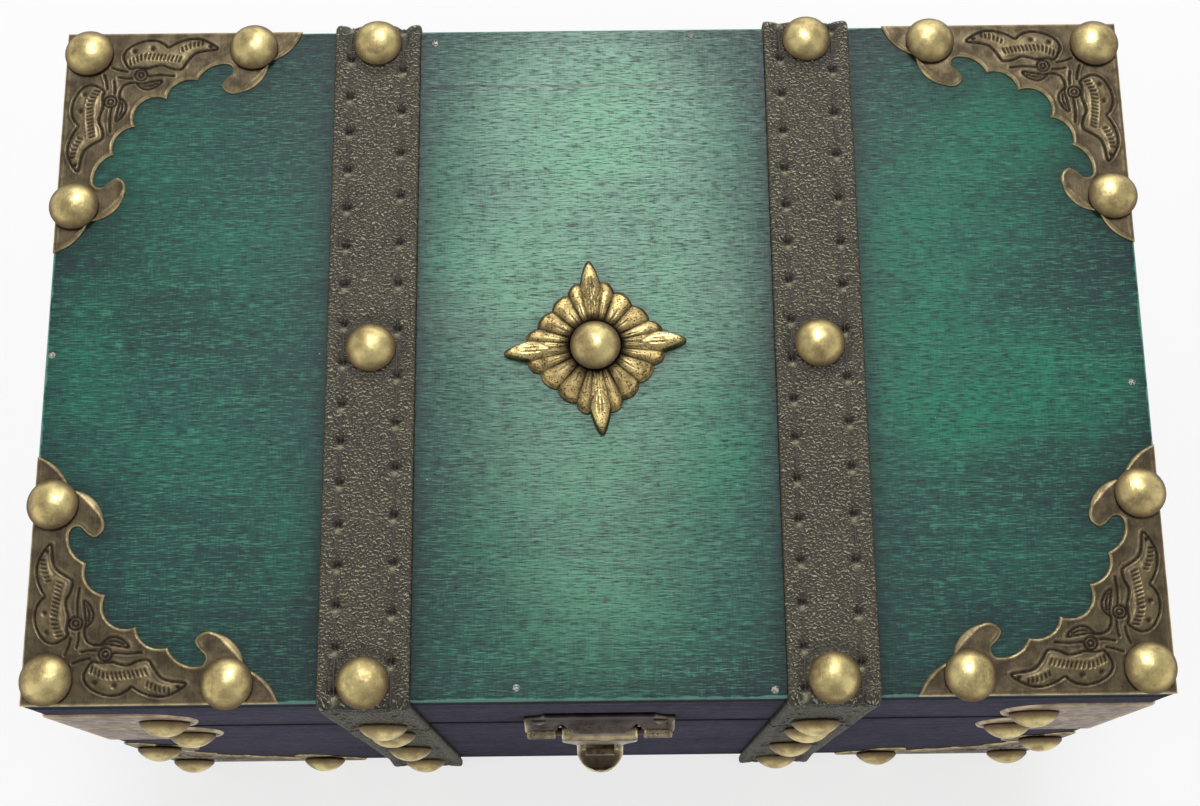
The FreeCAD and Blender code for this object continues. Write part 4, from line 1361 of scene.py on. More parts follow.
@dataclass
class Strap:
    """A leather strap laid along a path, with two rows of stitches.

    A wave is its height, the distance in which it turns by one radian, and its lean across the strap.
    """

    name: str
    node: str
    body: Body
    path: Array
    outward: Array
    half_width: float
    middle: float
    thickness: float
    finishes: Finishes
    seed: int
    flare: float = 0.0
    flare_length: float = 16.0
    row_insets: Pair = (3.65, 4.0)
    row_pitches: Pair = (9.0, 10.4)
    row_start: float = 3.0
    row_end: float = 2.0
    row_drift: float = 0.3
    pitch: float = 0.5
    across: int = 49
    edge_crowding: float = 0.35
    nails: str = "lid_strap_nails"
    nail_ring: float = 6.6
    ring_reach: float = 1.1
    ring_depth: float = 0.28
    groove: float = 0.20
    groove_reach: float = 0.42
    lightly_pressed_shade: float = 0.42
    hole: float = 1.05
    hole_reach: float = 0.80
    hole_growth: float = 0.35
    hole_pressed_shade: float = 1.25
    lip: float = 0.34
    lip_reach: float = 0.55
    lip_behind: float = 1.45
    bead: float = 0.12
    bead_inset: float = 1.1
    bead_reach: float = 0.6
    waves: tuple = ((0.05, 9.0, 0.12), (0.035, 4.1, -0.3), (0.025, 2.3, 0.55))
    wave_phase: float = 2.1
    corner: float = 0.50
    thinnest: float = 0.35
    proudest: float = 0.12
    underside: float = 0.02
    ragged: float = 0.22
    ragged_knots: int = 15
    ragged_reach: float = 1.5
    map_shift: float = 0.31
    thread_radius: float = 0.24
    thread_sides: int = 8
    thread_steps: int = 13
    thread_sunk: float = 0.75
    thread_rise: float = 0.66
    thread_sway: float = 0.10
    thread_taper: float = 0.25

    def build(self) -> None:
        """Makes the strap and its thread."""
        travel = travelled(self.path)
        self._leather(travel)
        self._thread(travel)

    def _along(self, travel: Array, stops: Array) -> tuple[Array, Array]:
        """Places on the path and the ways out from it, at distances along it."""
        out = at_stops(stops, travel, self.outward)
        return at_stops(stops, travel, self.path), out / np.linalg.norm(out, axis=1, keepdims=True)

    def _lifted(self, travel: Array, stops: Array) -> Array:
        """How far the strap stands off its path: it flares away smoothly at its end."""
        return self.flare * ease((stops - travel[-1] + self.flare_length) / self.flare_length)

    def _holes(self, length: float) -> list[tuple[float, Array]]:
        """Each row's place across the strap and its holes' distances along it.

        Args:
            length: The path's length.

        Returns:
            A pair for each row. The holes drift a little from an even pitch.
        """
        rng = np.random.default_rng(self.seed)
        rows = []
        for side, inset, pitch in zip((-1, 1), self.row_insets, self.row_pitches):
            stops = np.arange(self.row_start + 2.0 * rng.random(), length - self.row_end, pitch)
            rows.append((side * (self.half_width - inset), stops + rng.normal(0, self.row_drift, len(stops))))
        return rows

    def _nail_spots(self, travel: Array) -> list[Pair]:
        """Where this strap's nails stand.

        Args:
            travel: The distance along the path at each of its points.

        Returns:
            For each nail its place across the strap from its middle, and along its path.
        """
        stops = np.linspace(0, travel[-1], int(travel[-1]) * 4)
        line = self._along(travel, stops)[0]
        spots = []
        for low, high in nail_boxes(self.nails):
            middle = (low + high) / 2
            gap = np.linalg.norm(line - middle[1:], axis=1)
            if abs(middle[0] - self.middle) < self.half_width and gap.min() < 2 * self.nail_ring:
                spots.append((middle[0] - self.middle, stops[gap.argmin()]))
        return spots

    def _relief(self, across: Array, stops: Array, travel: Array) -> tuple[Array, Array, Array]:
        """How far the top stands below the full thickness, how hard it is pressed, and where it is pushed up.

        Each stitch row is a rounded groove, each hole in it a deeper dimple, and the leather is pushed up
        beside the hole. Each nail sits in a soft ring-shaped hollow. Slow waves of three lengths and a low
        bead beside each edge keep the rest from lying quite flat.

        Args:
            across: Places across the strap from its middle.
            stops: Places along its path.
            travel: The distance along the path at each of its points.

        Returns:
            The drop in millimetres, and the pressed and raised values from 0 to 1. The pressed value darkens
            the rows, and as painted shade the holes and nail hollows; the raised value lightens the lips as a
            painted highlight.
        """
        down, pressed, raised = (np.zeros(across.shape) for _ in range(3))
        for place, stop in self._nail_spots(travel):
            ring = bell(np.hypot(across - place, stops - stop) - self.nail_ring, self.ring_reach)
            down += self.ring_depth * ring
            # The nail's hollow is darkened as painted shade.
            pressed = np.maximum(pressed, self.lightly_pressed_shade * ring)
        for place, holes in self._holes(travel[-1]):
            beside = across - place
            row = bell(beside, self.groove_reach)
            apart = stops[..., None] - holes
            gap = np.take_along_axis(apart, np.abs(apart).argmin(axis=-1)[..., None], axis=-1)[..., 0]
            spread = self.hole_reach + self.hole_growth * ease(gap + 0.5)
            dimple = bell(beside, spread) * bell(gap, self.hole_reach)
            lip = bell(np.hypot(beside, gap + self.lip_behind), self.lip_reach)
            down += self.groove * row + self.hole * dimple - self.lip * lip
            # The holes darkened as painted shade, and their lips lightened as painted highlights.
            held = np.clip(self.hole_pressed_shade * dimple, 0, 1)
            pressed = np.maximum(pressed, np.maximum(self.lightly_pressed_shade * row, held))
            raised = np.maximum(raised, lip)
        waves = sum(size * np.sin(stops / reach + self.wave_phase * self.seed + across * lean)
                    for size, reach, lean in self.waves)
        bead = self.bead * bell(self.half_width - np.abs(across) - self.bead_inset, self.bead_reach)
        return down - bead - waves, pressed, raised

    def _leather(self, travel: Array) -> None:
        """The strap's closed skin: a section carried along the path.

        The section runs over the top from edge to edge and back underneath. Its corners are quarter
        circles: near an edge the top falls from the full thickness by the circle's own drop. The cut ends
        wander a little.

        Args:
            travel: The distance along the path at each of its points.
        """
        length = travel[-1]
        stops = np.linspace(0, length, int(length / self.pitch) + 1)
        turn = np.linspace(-1, 1, self.across)
        crowded = np.sin(turn * math.pi / 2) * self.edge_crowding + turn * (1 - self.edge_crowding)
        grid_stops, grid_reach = np.meshgrid(stops, self.half_width * crowded, indexing="ij")
        down, pressed, raised = self._relief(grid_reach, grid_stops, travel)
        side_gap = self.half_width - np.abs(grid_reach)
        end_gap = np.minimum(grid_stops, length - grid_stops)
        fall = rounding(side_gap, self.corner) + rounding(end_gap, self.corner)
        top = np.clip(self.thickness - down, self.thinnest, self.thickness + self.proudest)
        top = np.maximum(top - fall, 2 * self.underside)
        rng = np.random.default_rng(self.seed + 50)
        knots = np.linspace(-self.half_width, self.half_width, self.ragged_knots)
        ragged = np.interp(grid_reach, knots, rng.normal(0, self.ragged, self.ragged_knots))
        pull = fading(grid_stops, self.ragged_reach) - fading(length - grid_stops, self.ragged_reach)
        shifted = np.clip(grid_stops + ragged * pull, 0, length).ravel()
        place, out = self._along(travel, shifted)
        lift = self._lifted(travel, shifted)
        points = [np.column_stack([self.middle + grid_reach.ravel(), place + out * (height + lift)[:, None]])
                  for height in (top.ravel(), self.underside)]
        fields = on_both(edge=np.minimum(side_gap, end_gap), pressed=pressed, raised=raised)
        piece = new_piece(self.name, Surface(np.concatenate(points), skin_faces(*grid_stops.shape), fields),
                          self.body, self.finishes.leather, [self.node], weld=0.0)
        flat_map = np.tile(np.column_stack([grid_reach.ravel(), grid_stops.ravel()]), (2, 1)) * MM
        self._map(piece, flat_map + np.array([0.0, self.map_shift * self.seed]))

    @staticmethod
    def _map(piece: bpy.types.Object, flat: Array) -> None:
        """Lays the strap's own flat coordinates on its corners as a UV map.

        Args:
            piece: The strap.
            flat: Each point's place across and along it, in metres.
        """
        mesh = piece.data
        numbers = np.zeros(len(mesh.loops), np.int32)
        mesh.loops.foreach_get("vertex_index", numbers)
        layer = mesh.uv_layers.new(name="strap")
        layer.data.foreach_set("uv", flat[numbers].ravel().astype(np.float32))

    def _thread(self, travel: Array) -> None:
        """The stitches: short round threads that dip into the holes at both ends.

        A stitch is a tube whose middle runs from hole to hole, and whose height above the groove is a
        half sine, lowered below the leather at the ends.

        Args:
            travel: The distance along the path at each of its points.
        """
        shares = np.linspace(0, 1, self.thread_steps)
        turns = full_turn(self.thread_sides)
        arch = np.sin(math.pi * shares)
        rise = self.thickness - self.groove - self.thread_sunk + self.thread_rise * arch ** 0.5
        size = self.thread_radius * (1 - self.thread_taper + self.thread_taper * arch)
        stitches = []
        for across, holes in self._holes(travel[-1]):
            for start, end in zip(holes[:-1], holes[1:]):
                stops = start + (end - start) * shares
                place, out = self._along(travel, stops)
                wide = across + self.thread_sway * np.sin(2 * math.pi * shares + start)
                ring_x = wide[:, None] + size[:, None] * np.cos(turns)
                ring_h = (rise + self._lifted(travel, stops))[:, None] + size[:, None] * np.sin(turns)
                flat = place[:, None, :] + out[:, None, :] * ring_h[..., None]
                points = np.concatenate([self.middle + ring_x[..., None], flat], axis=-1).reshape(-1, 3)
                stitches.append(Surface(points, tube_faces(len(shares), len(turns), both=True)))
        new_piece(self.name + "_thread", joined(stitches), self.body, self.finishes.thread,
                  weld=0.0)


@dataclass
class Straps:
    """The two straps over the lid and the four that carry on down the body."""

    finishes: Finishes
    bend_steps: int = 9
    bend_radius: float = 0.6
    foot_flare: float = 0.9

    def build(self) -> None:
        """Makes all six straps."""
        for number, (side, _) in enumerate(SIDES):
            self._lid_strap(side, number)
            for other, (end, facing) in enumerate(ENDS):
                self._body_strap(side, end, facing, 10 + 2 * number + other)

    def _lid_strap(self, side: str, number: int) -> None:
        """A strap up the front, over the lid and down the back.

        Its path follows the lid's wood: two straights, the top's straight between them, and at each
        shoulder a quarter circle of the board's own edge radius.

        Args:
            side: Left or right.
            number: The strap's number, which settles its small irregularities.
        """
        node, radius = f"lid_strap_{side}", self.bend_radius
        low, high = node_box(node)
        wood_low, wood_high = node_box("lid_top_panel")
        turns = np.linspace(0, math.pi / 2, self.bend_steps)
        front_out = np.column_stack([-np.cos(turns), np.sin(turns)])
        front = np.array([wood_low[1] + radius, wood_high[2] - radius]) + radius * front_out
        mirror = np.array([-1, 1])
        path = np.concatenate([[[wood_low[1], low[2]]], front, front[::-1] * mirror,
                               [[wood_high[1], low[2]]]])
        outward = np.concatenate([[[-1.0, 0.0]], front_out, front_out[::-1] * mirror, [[1.0, 0.0]]])
        Strap(node + "_leather", node, Body.LID, path, outward, (high[0] - low[0]) / 2,
              (high[0] + low[0]) / 2, wood_low[1] - low[1], self.finishes, number).build()

    def _body_strap(self, side: str, end: str, facing: int, number: int) -> None:
        """A strap straight down the body, its foot standing a little away from the wood.

        Args:
            side: Left or right.
            end: Front or back.
            facing: -1 for the front and 1 for the back.
            number: The strap's number, which settles its small irregularities.
        """
        node = f"body_strap_{end}_{side}"
        low, high = node_box(node)
        wood = (high if facing < 0 else low)[1]
        path = np.array([[wood, high[2]], [wood, low[2]]])
        outward = np.array([[float(facing), 0.0]] * 2)
        Strap(node + "_leather", node, Body.BOX, path, outward, (high[0] - low[0]) / 2,
              (high[0] + low[0]) / 2, high[1] - low[1], self.finishes, number, flare=self.foot_flare,
              nails="body_strap_nails").build()


@dataclass
class NailGroup:
    """The dome-headed nails of one node."""

    node: str
    body: Body
    slot: Slot
    finish: Material
    sides: int = 40
    rings: int = 14
    rim_share: float = 0.16
    rim_levels: tuple[float, ...] = (0.95, 0.25, 0.0)
    foot_share: float = 0.985
    dent: float = 0.006
    rub: float = 0.8
    rim_shade_from: float = 0.66
    dark: float = 0.85

    def build(self) -> None:
        """Makes the nails in place of the node's, each where its own faceted head is."""
        heads = [self._head(low, high) for low, high in nail_boxes(self.node)]
        new_piece(self.node + "_domes", joined(heads), self.body, self.finish, [self.node])

    def _head(self, low: Array, high: Array) -> Surface:
        """A nail's head as a surface of revolution.

        From the crown the profile follows a sphere through the crown and the rim's top, then rolls round
        a small rim to the foot. A little hammering moves each point in and out by slow sines.

        Args:
            low: The head's lowest corner.
            high: Its highest corner.

        Returns:
            The head, rubbed at its crown, and dark at its rim with patina and painted shade.
        """
        spans, middle = high - low, (low + high) / 2
        axis = int(np.argmin(spans))
        radius, height = spans.max() / 2, spans[axis]
        facing = 1.0 if axis == 2 or middle[axis] > 0 else -1.0
        rim = self.rim_share * height
        cap = height - rim
        sphere = (radius ** 2 + cap ** 2) / (2 * cap)
        foot = radius * self.foot_share
        angles = np.linspace(0, math.asin(min(foot / sphere, 1.0)), self.rings)
        across = np.concatenate([sphere * np.sin(angles), [radius, radius, foot]])
        up = np.concatenate([height - sphere + sphere * np.cos(angles), rim * np.array(self.rim_levels)])
        turns, phase = full_turn(self.sides), float(middle.sum())
        share = (across / radius)[:, None]
        dents = 1 + self.dent * np.sin(3 * turns + phase) * share
        base = low[axis] if facing > 0 else high[axis]
        points = revolved(middle, axis, across[:, None] * dents, base + facing * up, turns, radius)
        rub = ease(1 - share * self.rub) * (0.55 + 0.45 * np.sin(turns + phase)) * self.rub
        # Painted shade and patina darkening the head towards its rim.
        dark = ease((share - self.rim_shade_from) / (1 - self.rim_shade_from)) * np.full(self.sides, self.dark)
        return Surface(points, tube_faces(len(across), self.sides),
                       {"rub": rub.ravel(), "hollow": dark.ravel()})


@dataclass
class Ornament:
    """The raised work of half a corner fitting, in millimetres along its leg and in from its edge.

    A row of teeth is its line, the number of its teeth and their length. A dot is its place and radius.
    """

    wing: tuple = (
        (13.0, 6.5), (13.5, 4.5), (15.3, 3.0), (17.8, 2.1), (20.3, 2.1), (22.2, 3.0), (23.1, 3.75),
        (24.8, 2.75), (27.3, 1.85), (29.8, 1.7), (32.3, 2.6), (34.3, 4.25), (31.5, 4.75), (29.3, 5.4),
        (27.8, 7.0), (26.3, 9.25), (24.0, 9.1), (22.0, 8.25), (19.9, 8.6), (18.5, 9.0), (16.0, 8.8),
        (14.5, 9.0))
    tooth_rows: tuple = ((((14.7, 8.0), (17.5, 6.75), (20.0, 6.7), (23.0, 7.0), (25.6, 7.4)), 14, 1.15),
                         (((26.4, 4.75), (28.5, 3.75), (30.8, 3.3)), 6, 0.9))
    almond: tuple = ((16.3, 12.6), (17.5, 13.9), (19.0, 14.2), (20.8, 13.5), (22.0, 12.1), (19.5, 12.4),
                     (17.3, 12.8))
    quills: tuple = (((19.0, 10.9), (21.8, 10.7), (24.7, 10.95)), ((17.6, 13.3), (19.3, 13.3), (21.0, 12.7)))
    cross_arc: tuple = ((11.75, 16.0), (12.5, 14.0), (14.25, 12.75), (16.25, 12.5))
    lashes: tuple = (((10.5, 8.75), (12.2, 9.4), (14.0, 9.75)), ((12.0, 11.1), (13.6, 11.4), (15.25, 11.4)))
    eye: tuple = (17.2, 10.6)
    eye_radii: tuple = (1.35, 0.6)
    dots: tuple = ((15.4, 4.7, 0.6), (19.5, 4.0, 0.6), (32.7, 3.6, 0.5))
    curve_steps: int = 4
    tooth_lean: float = 0.25
    line_half: float = 0.21
    depth: float = 0.30
    lip: float = 0.09
    lip_place: float = 2.1
    lip_reach: float = 1.1
    pillow: float = 0.14
    pillow_reach: float = 1.6
    dot_depth: float = 0.25

    def height(self, spots: Array) -> Array:
        """The relief at flat spots: grooves cut along every line, and the wing pillowed between them.

        A groove is a bell of the distance to its line. The lips beside it are a wider bell, less deep.
        The pillow rises with the distance inside the wing's outline.

        Args:
            spots: Places along the leg and in from the edge, one per row. Both halves are mirrored here.

        Returns:
            The height above the plate's flat, in millimetres, negative in the grooves.
        """
        folded = np.where((spots[:, :1] >= spots[:, 1:]), spots, spots[:, ::-1])
        wing = smooth_line(self.wing, self.curve_steps, closed=True)
        lines = [wing, smooth_line(self.almond, self.curve_steps, closed=True)]
        curves = (*self.quills, self.cross_arc, *self.lashes)
        lines += [smooth_line(line, self.curve_steps) for line in curves]
        for row, count, length in self.tooth_rows:
            lines += self._teeth(row, count, length)
        from_eye = np.linalg.norm(folded - np.array(self.eye), axis=1)
        gaps = [distance_to_line(folded, line) for line in lines]
        gap = np.min(gaps + [np.abs(from_eye - radius) for radius in self.eye_radii], axis=0)
        groove = bell(gap, self.line_half)
        lips = bell(gap - self.lip_place * self.line_half, self.lip_reach * self.line_half)
        within = ease(distance_to_line(folded, wing) / self.pillow_reach)
        pillow = np.where(inside_line(folded, wing), within, 0)
        dots = sum(bell(np.hypot(folded[:, 0] - x, folded[:, 1] - y), radius, 4)
                   for x, y, radius in self.dots)
        return self.pillow * pillow + self.lip * lips - self.depth * groove - self.dot_depth * dots

    def _teeth(self, row: Sequence, count: int, length: float) -> list[Array]:
        """Short strokes that stand on a curved row, evenly spaced and leaning a little.

        Args:
            row: The points of the curve.
            count: The number of strokes.
            length: Their length.

        Returns:
            Each stroke's two ends.
        """
        line = smooth_line(row)
        travel, ahead = travelled(line), 0.5
        stops = np.linspace(0, travel[-1], count)
        feet = at_stops(stops, travel, line)
        along = np.where(stops[:, None] > travel[-1] - ahead, line[-1] - line[-3],
                         at_stops(stops + ahead, travel, line) - feet)
        along /= np.linalg.norm(along, axis=1, keepdims=True)
        across = np.stack([along[:, 1], -along[:, 0]], axis=1)
        ends = feet + (across + self.tooth_lean * along) * length
        return [np.stack([foot, end]) for foot, end in zip(feet, ends)]


@dataclass
class CornerFitting:
    """A pressed brass corner fitting with a scalloped inner edge and engraved wings.

    Each arc is a place that it passes and its end, as shares of the leg along and in from it.
    """

    leg: float
    thickness: float
    arcs: tuple = (((0.956, 0.078), (0.861, 0.138)), ((0.829, 0.225), (0.740, 0.280)),
                   ((0.682, 0.274), (0.664, 0.246)), ((0.675, 0.2255), (0.701, 0.198)),
                   ((0.710, 0.175), (0.690, 0.149)), ((0.608, 0.166), (0.561, 0.224)),
                   ((0.477, 0.235), (0.434, 0.3075)))
    diagonal: float = 0.326
    pitch: float = 0.28
    edge_pitch: float = 0.45
    edge_room: float = 0.45
    roll: float = 0.35
    sunk: float = 0.22
    plain_edge: float = 0.3
    plain_fade: float = 0.6
    bead: float = 0.05
    bead_inset: float = 0.70
    bead_reach: float = 0.30
    rub_reach: float = 0.34
    rub_height: float = 0.2
    hollow_depth: float = 0.14

    def outline(self) -> Array:
        """The fitting's closed outline, its corner at the origin and its legs along both axes.

        Half of it runs from the leg's tip through the arcs to the diagonal, and the other half is the
        same with its two coordinates exchanged.

        Returns:
            The outline's points in order, the first not repeated.
        """
        here = np.array([1.0, 0.0])
        half = [here[None, :]]
        for through, end in self.arcs:
            half.append(self._arc(here, np.array(through), np.array(end)))
            here = np.array(end)
        half = np.concatenate(half)
        middle = self._arc(here, np.array([self.diagonal, self.diagonal]), here[::-1])[:-1]
        inner = np.concatenate([half, middle, half[::-1, ::-1]]) * self.leg
        count = int(self.leg / self.edge_pitch)
        side = np.linspace(0, self.leg, count, endpoint=False)
        down = np.column_stack([np.zeros(count), self.leg - side])[1:]
        return np.concatenate([inner, down, np.column_stack([side, np.zeros(count)])])

    def _arc(self, start: Array, through: Array, end: Array) -> Array:
        """Points on the circle through three places, from after the first to the last.

        The circle's middle is where the upright bisectors of the two chords meet, and the points are
        evenly turned about it, the way that passes the second place.

        Args:
            start: The first place, as shares of the leg.
            through: The second.
            end: The last.

        Returns:
            The points, as shares of the leg.
        """
        sides = np.stack([through - start, end - start])
        middle = start + np.linalg.solve(2 * sides, (sides ** 2).sum(axis=1))
        radius = np.linalg.norm(start - middle)
        angles = [math.atan2(*(place - middle)[::-1]) for place in (start, through, end)]
        turn = (angles[2] - angles[0]) % (2 * math.pi)
        if (angles[1] - angles[0]) % (2 * math.pi) > turn:
            turn -= 2 * math.pi
        count = max(int(abs(turn) * radius * self.leg / self.edge_pitch), 3)
        swept = angles[0] + turn * np.arange(1, count + 1) / count
        return middle + radius * np.column_stack([np.cos(swept), np.sin(swept)])

    def plate(self) -> Surface:
        """The fitting lying flat: a fine mesh of its outline, raised by its ornament.

        Points of a staggered grid that lie inside the outline are joined with the outline's own by a
        constrained triangulation. Towards the outline the top falls in a quarter circle to the edge.

        Returns:
            The plate, rubbed at its edge and dark in its grooves.
        """
        outline = self.outline()
        closed, count = closed_line(outline), len(outline)
        steps = np.arange(self.pitch / 2, self.leg, self.pitch)
        across, up = np.meshgrid(steps, steps)
        across = across + (np.arange(len(steps)) % 2)[:, None] * self.pitch / 2
        spots = np.column_stack([across.ravel(), up.ravel()])
        spots = spots[(spots.sum(axis=1) < self.leg * 1.02) & inside_line(spots, closed)]
        spots = spots[distance_to_line(spots, closed) > self.edge_room * self.pitch]
        edges = [(number, (number + 1) % count) for number in range(count)]
        flat = [Vector(spot) for spot in np.concatenate([outline, spots])]
        places, _, triangles, *_ = delaunay_2d_cdt(flat, edges, [], 1, 1e-6)
        flat = np.array([tuple(place) for place in places])
        gap, total = distance_to_line(flat, closed), len(flat)
        relief = Ornament().height(flat) * ease((gap - self.plain_edge) / self.plain_fade)
        bead = self.bead * bell(gap - self.bead_inset, self.bead_reach)
        top = self.thickness - self.sunk - rounding(gap, self.roll) + relief + bead
        foot = np.column_stack([flat[:count], np.zeros(count)])
        points = np.concatenate([np.column_stack([flat, top]), foot])
        faces = [list(triangle) for triangle in triangles]
        faces += [[after, here, total + here, total + after] for here, after in edges]
        faces.append([total + number for number in range(count)][::-1])
        rub = np.clip(bell(gap, self.rub_reach) + 0.22 * ease(relief / self.rub_height), 0, 1)
        hollow = ease(-relief / self.hollow_depth)
        return Surface(points, faces, {"rub": np.concatenate([rub, np.full(count, 0.6)]),
                                       "hollow": np.concatenate([hollow, np.zeros(count)])})


@dataclass
class Fittings:
    """The four fittings on the lid and the two on the front's lower corners."""

    finishes: Finishes

    def build(self) -> None:
        """Makes one plate and lays it on each corner."""
        low, high = node_box("lid_fitting_front_left")
        plate = CornerFitting(high[0] - low[0], high[2] - low[2]).plate()
        along, inward, out = plate.points.T
        for end, side_y in ENDS:
            for side, side_x in SIDES:
                node = f"lid_fitting_{end}_{side}"
                low, high = node_box(node)
                x, y = box_corner(low, high, side_x, side_y)
                laid = np.column_stack([x - side_x * along, y - side_y * inward, low[2] + out])
                self._lay(node, plate, laid, Body.LID)
        for side, side_x in SIDES:
            node = f"body_fitting_{side}"
            low, high = node_box(node)
            x, y = box_corner(low, high, side_x, 1)
            self._lay(node, plate, np.column_stack([x - side_x * along, y - out, low[2] + inward]), Body.BOX)

    def _lay(self, node: str, plate: Surface, points: Array, body: Body) -> None:
        """Makes the fitting from the plate's faces at new points."""
        new_piece(node + "_plate", Surface(points, plate.faces, plate.fields), body,
                  self.finishes.fitting, [node])


@dataclass
class Rosette:
    """The diamond rosette: four raised almond leaves, four fluted petals between each pair, a dished middle.

    Places in the plane are shares of its half span, and heights are shares of its height.
    """

    finishes: Finishes
    valleys: tuple = ((0.742, 0.111), (0.614, 0.254), (0.442, 0.442), (0.254, 0.614), (0.111, 0.742))
    turn: float = math.radians(4.0)
    around: int = 720
    rings: int = 84
    ring_crowding: float = 0.92
    tip_roundness: float = 0.52
    petal_bulge: float = 0.052
    dish: float = 0.25
    dish_level: float = 0.34
    dish_fall: float = 0.10
    crown_rise: float = 0.12
    crown_height: float = 0.42
    outward_fall: float = 0.62
    ridge_height: float = 0.36
    ridge_level: float = 0.72
    flute_depth: float = 0.07
    flute_half: float = 0.07
    leaf_start: float = 0.50
    leaf_half: float = 0.130
    leaf_level: float = 0.42
    leaf_fall: float = 0.30
    crease: Place = (0.07, 0.022, 0.010)
    rib: Place = (0.16, 0.030, 0.017)
    rim_level: float = 0.42
    rim_reach: float = 0.10
    shade_ring: float = 0.43
    shade_fade: float = 0.15

    def build(self) -> None:
        """Makes the rosette in place of its node."""
        low, high = node_box("lid_rosette")
        half = (high[0] - low[0]) / 2 / math.cos(self.turn)
        angles = full_turn(self.around)
        rim, share = self._outline(angles)
        radius = rim * np.linspace(0, 1, self.rings)[:, None] ** self.ring_crowding
        rise, hollow, rub = self._relief(radius, rim, share, angles)
        turned = angles + self.turn
        top = np.stack([half * radius * np.cos(turned), half * radius * np.sin(turned),
                        low[2] + rise * (high[2] - low[2])], axis=-1)
        foot = top[-1].copy()
        foot[:, 2] = low[2]
        points = np.concatenate([top.reshape(-1, 3), foot])
        points[:, :2] = np.clip(points[:, :2], low[:2], high[:2])
        fields = {"rub": np.concatenate([rub.ravel(), np.zeros(self.around)]),
                  "hollow": np.concatenate([hollow.ravel(), np.full(self.around, 0.5)])}
        new_piece("lid_rosette_flower", Surface(points, tube_faces(self.rings + 1, self.around), fields),
                  Body.LID, self.finishes.rosette, ["lid_rosette"], weld=0.004)

    def _outline(self, angles: Array) -> tuple[Array, Array]:
        """The outline's radius by angle, as a share of the half span, and each petal's own share.

        Beyond the first valley a leaf's half width grows from its tip as a power of the distance.
        Between two valleys the edge is the straight line plus a half sine.

        Args:
            angles: The angles.

        Returns:
            The radius, and the share from one valley to the next, or -1 on a leaf.
        """
        quarter = np.mod(angles, math.pi / 2)
        folded = np.minimum(quarter, math.pi / 2 - quarter)
        along = np.linspace(1, self.valleys[0][0], 60)
        wide = self.valleys[0][1] * ((1 - along) / (1 - along[-1])) ** self.tip_roundness
        leaf = np.interp(folded, np.arctan2(wide, along), np.hypot(along, wide))
        stops = [math.atan2(y, x) for x, y in self.valleys]
        number = np.clip(np.searchsorted(stops, quarter) - 1, 0, len(stops) - 2)
        corners = np.array(self.valleys)
        start, chord = corners[number], corners[number + 1] - corners[number]
        ray = np.stack([np.cos(quarter), np.sin(quarter)], axis=1)
        across = ray[:, 0] * chord[:, 1] - ray[:, 1] * chord[:, 0]
        line = (start[:, 0] * chord[:, 1] - start[:, 1] * chord[:, 0]) / across
        share = np.interp(quarter, stops, np.arange(len(stops))) - number
        petal = line + self.petal_bulge * np.sin(math.pi * np.clip(share, 0, 1)) ** 0.8
        between = (quarter > stops[0]) & (quarter < stops[-1])
        return np.where(between, petal, leaf), np.where(between, share, -1.0)

    def _relief(self, radius: Array, rim: Array, share: Array, angles: Array) -> tuple[Array, Array, Array]:
        """The top's height, how hollow it is, with painted shade round the dish, and how rubbed.

        A crown stands round the dish and falls outwards. Each petal is a rounded ridge with a faint
        flute, deep at the crown and shallow at the rim. A leaf is an almond whose section is half an
        ellipse, with a crease along it, and two ribs lead from it to the dish. Slow sines of the angle
        keep the petals from being all alike.

        Args:
            radius: Each point's radius.
            rim: The outline's radius by angle.
            share: Each angle's share of its petal, or -1 on a leaf.
            angles: The angles.

        Returns:
            The height as a share of the full height, and the hollow and rub values.
        """
        on_petal = share >= 0
        out = np.clip((radius - self.dish) / (rim - self.dish), 0, 1)
        rise = ease(out / self.crown_rise)
        crown = rise * (1 - self.outward_fall * out ** 1.2)
        ridge = np.where(on_petal, np.sin(math.pi * np.clip(share, 0, 1)) ** 0.5, 0)
        flute = np.where(on_petal, bell(share - 0.5 + 0.12 * np.sin(9 * angles), self.flute_half), 0)
        flute = flute * ease((0.75 - out) / 0.5)
        wobble = 1 + 0.18 * np.sin(5 * angles + 1.0) + 0.12 * np.sin(11 * angles)
        deep = 1 - self.outward_fall * ease((out - 0.15) / 0.7)
        level = self.dish_level + self.crown_height * crown
        ridges = self.ridge_height * (ridge - self.ridge_level) * wobble - self.flute_depth * flute
        leaf, stem, crease = self._leaf(radius, angles, level, rise)
        between = np.where(leaf > 0, np.maximum(leaf, stem), stem)
        shape = np.where(on_petal, level + ridges * deep * rise, between)
        shape *= self.rim_level + (1 - self.rim_level) * ease((1 - out) / self.rim_reach + 0.05)
        dished = self.dish_level - self.dish_fall * ease((self.dish - radius) / self.dish_fall)
        shape = np.where(radius < self.dish, dished, shape)
        groove = np.where(on_petal, ease((0.66 - ridge) / 0.5), ease((0.55 - shape) / 0.2)) * (1 - 0.45 * out)
        # Painted shade on the petals round the dished middle.
        ring = ease((self.shade_ring - radius) / self.shade_fade)
        dark = np.maximum(np.maximum(groove, 0.55 * ease(flute)), ring)
        hollow = np.clip(np.maximum(dark, 0.35 * crease), 0, 1)
        rub = ease((shape - 0.52) / 0.3) * (1 - hollow) * (0.7 + 0.3 * np.sin(7 * angles))
        return np.clip(shape, 0.1, 1), hollow, np.clip(rub, 0, 1)

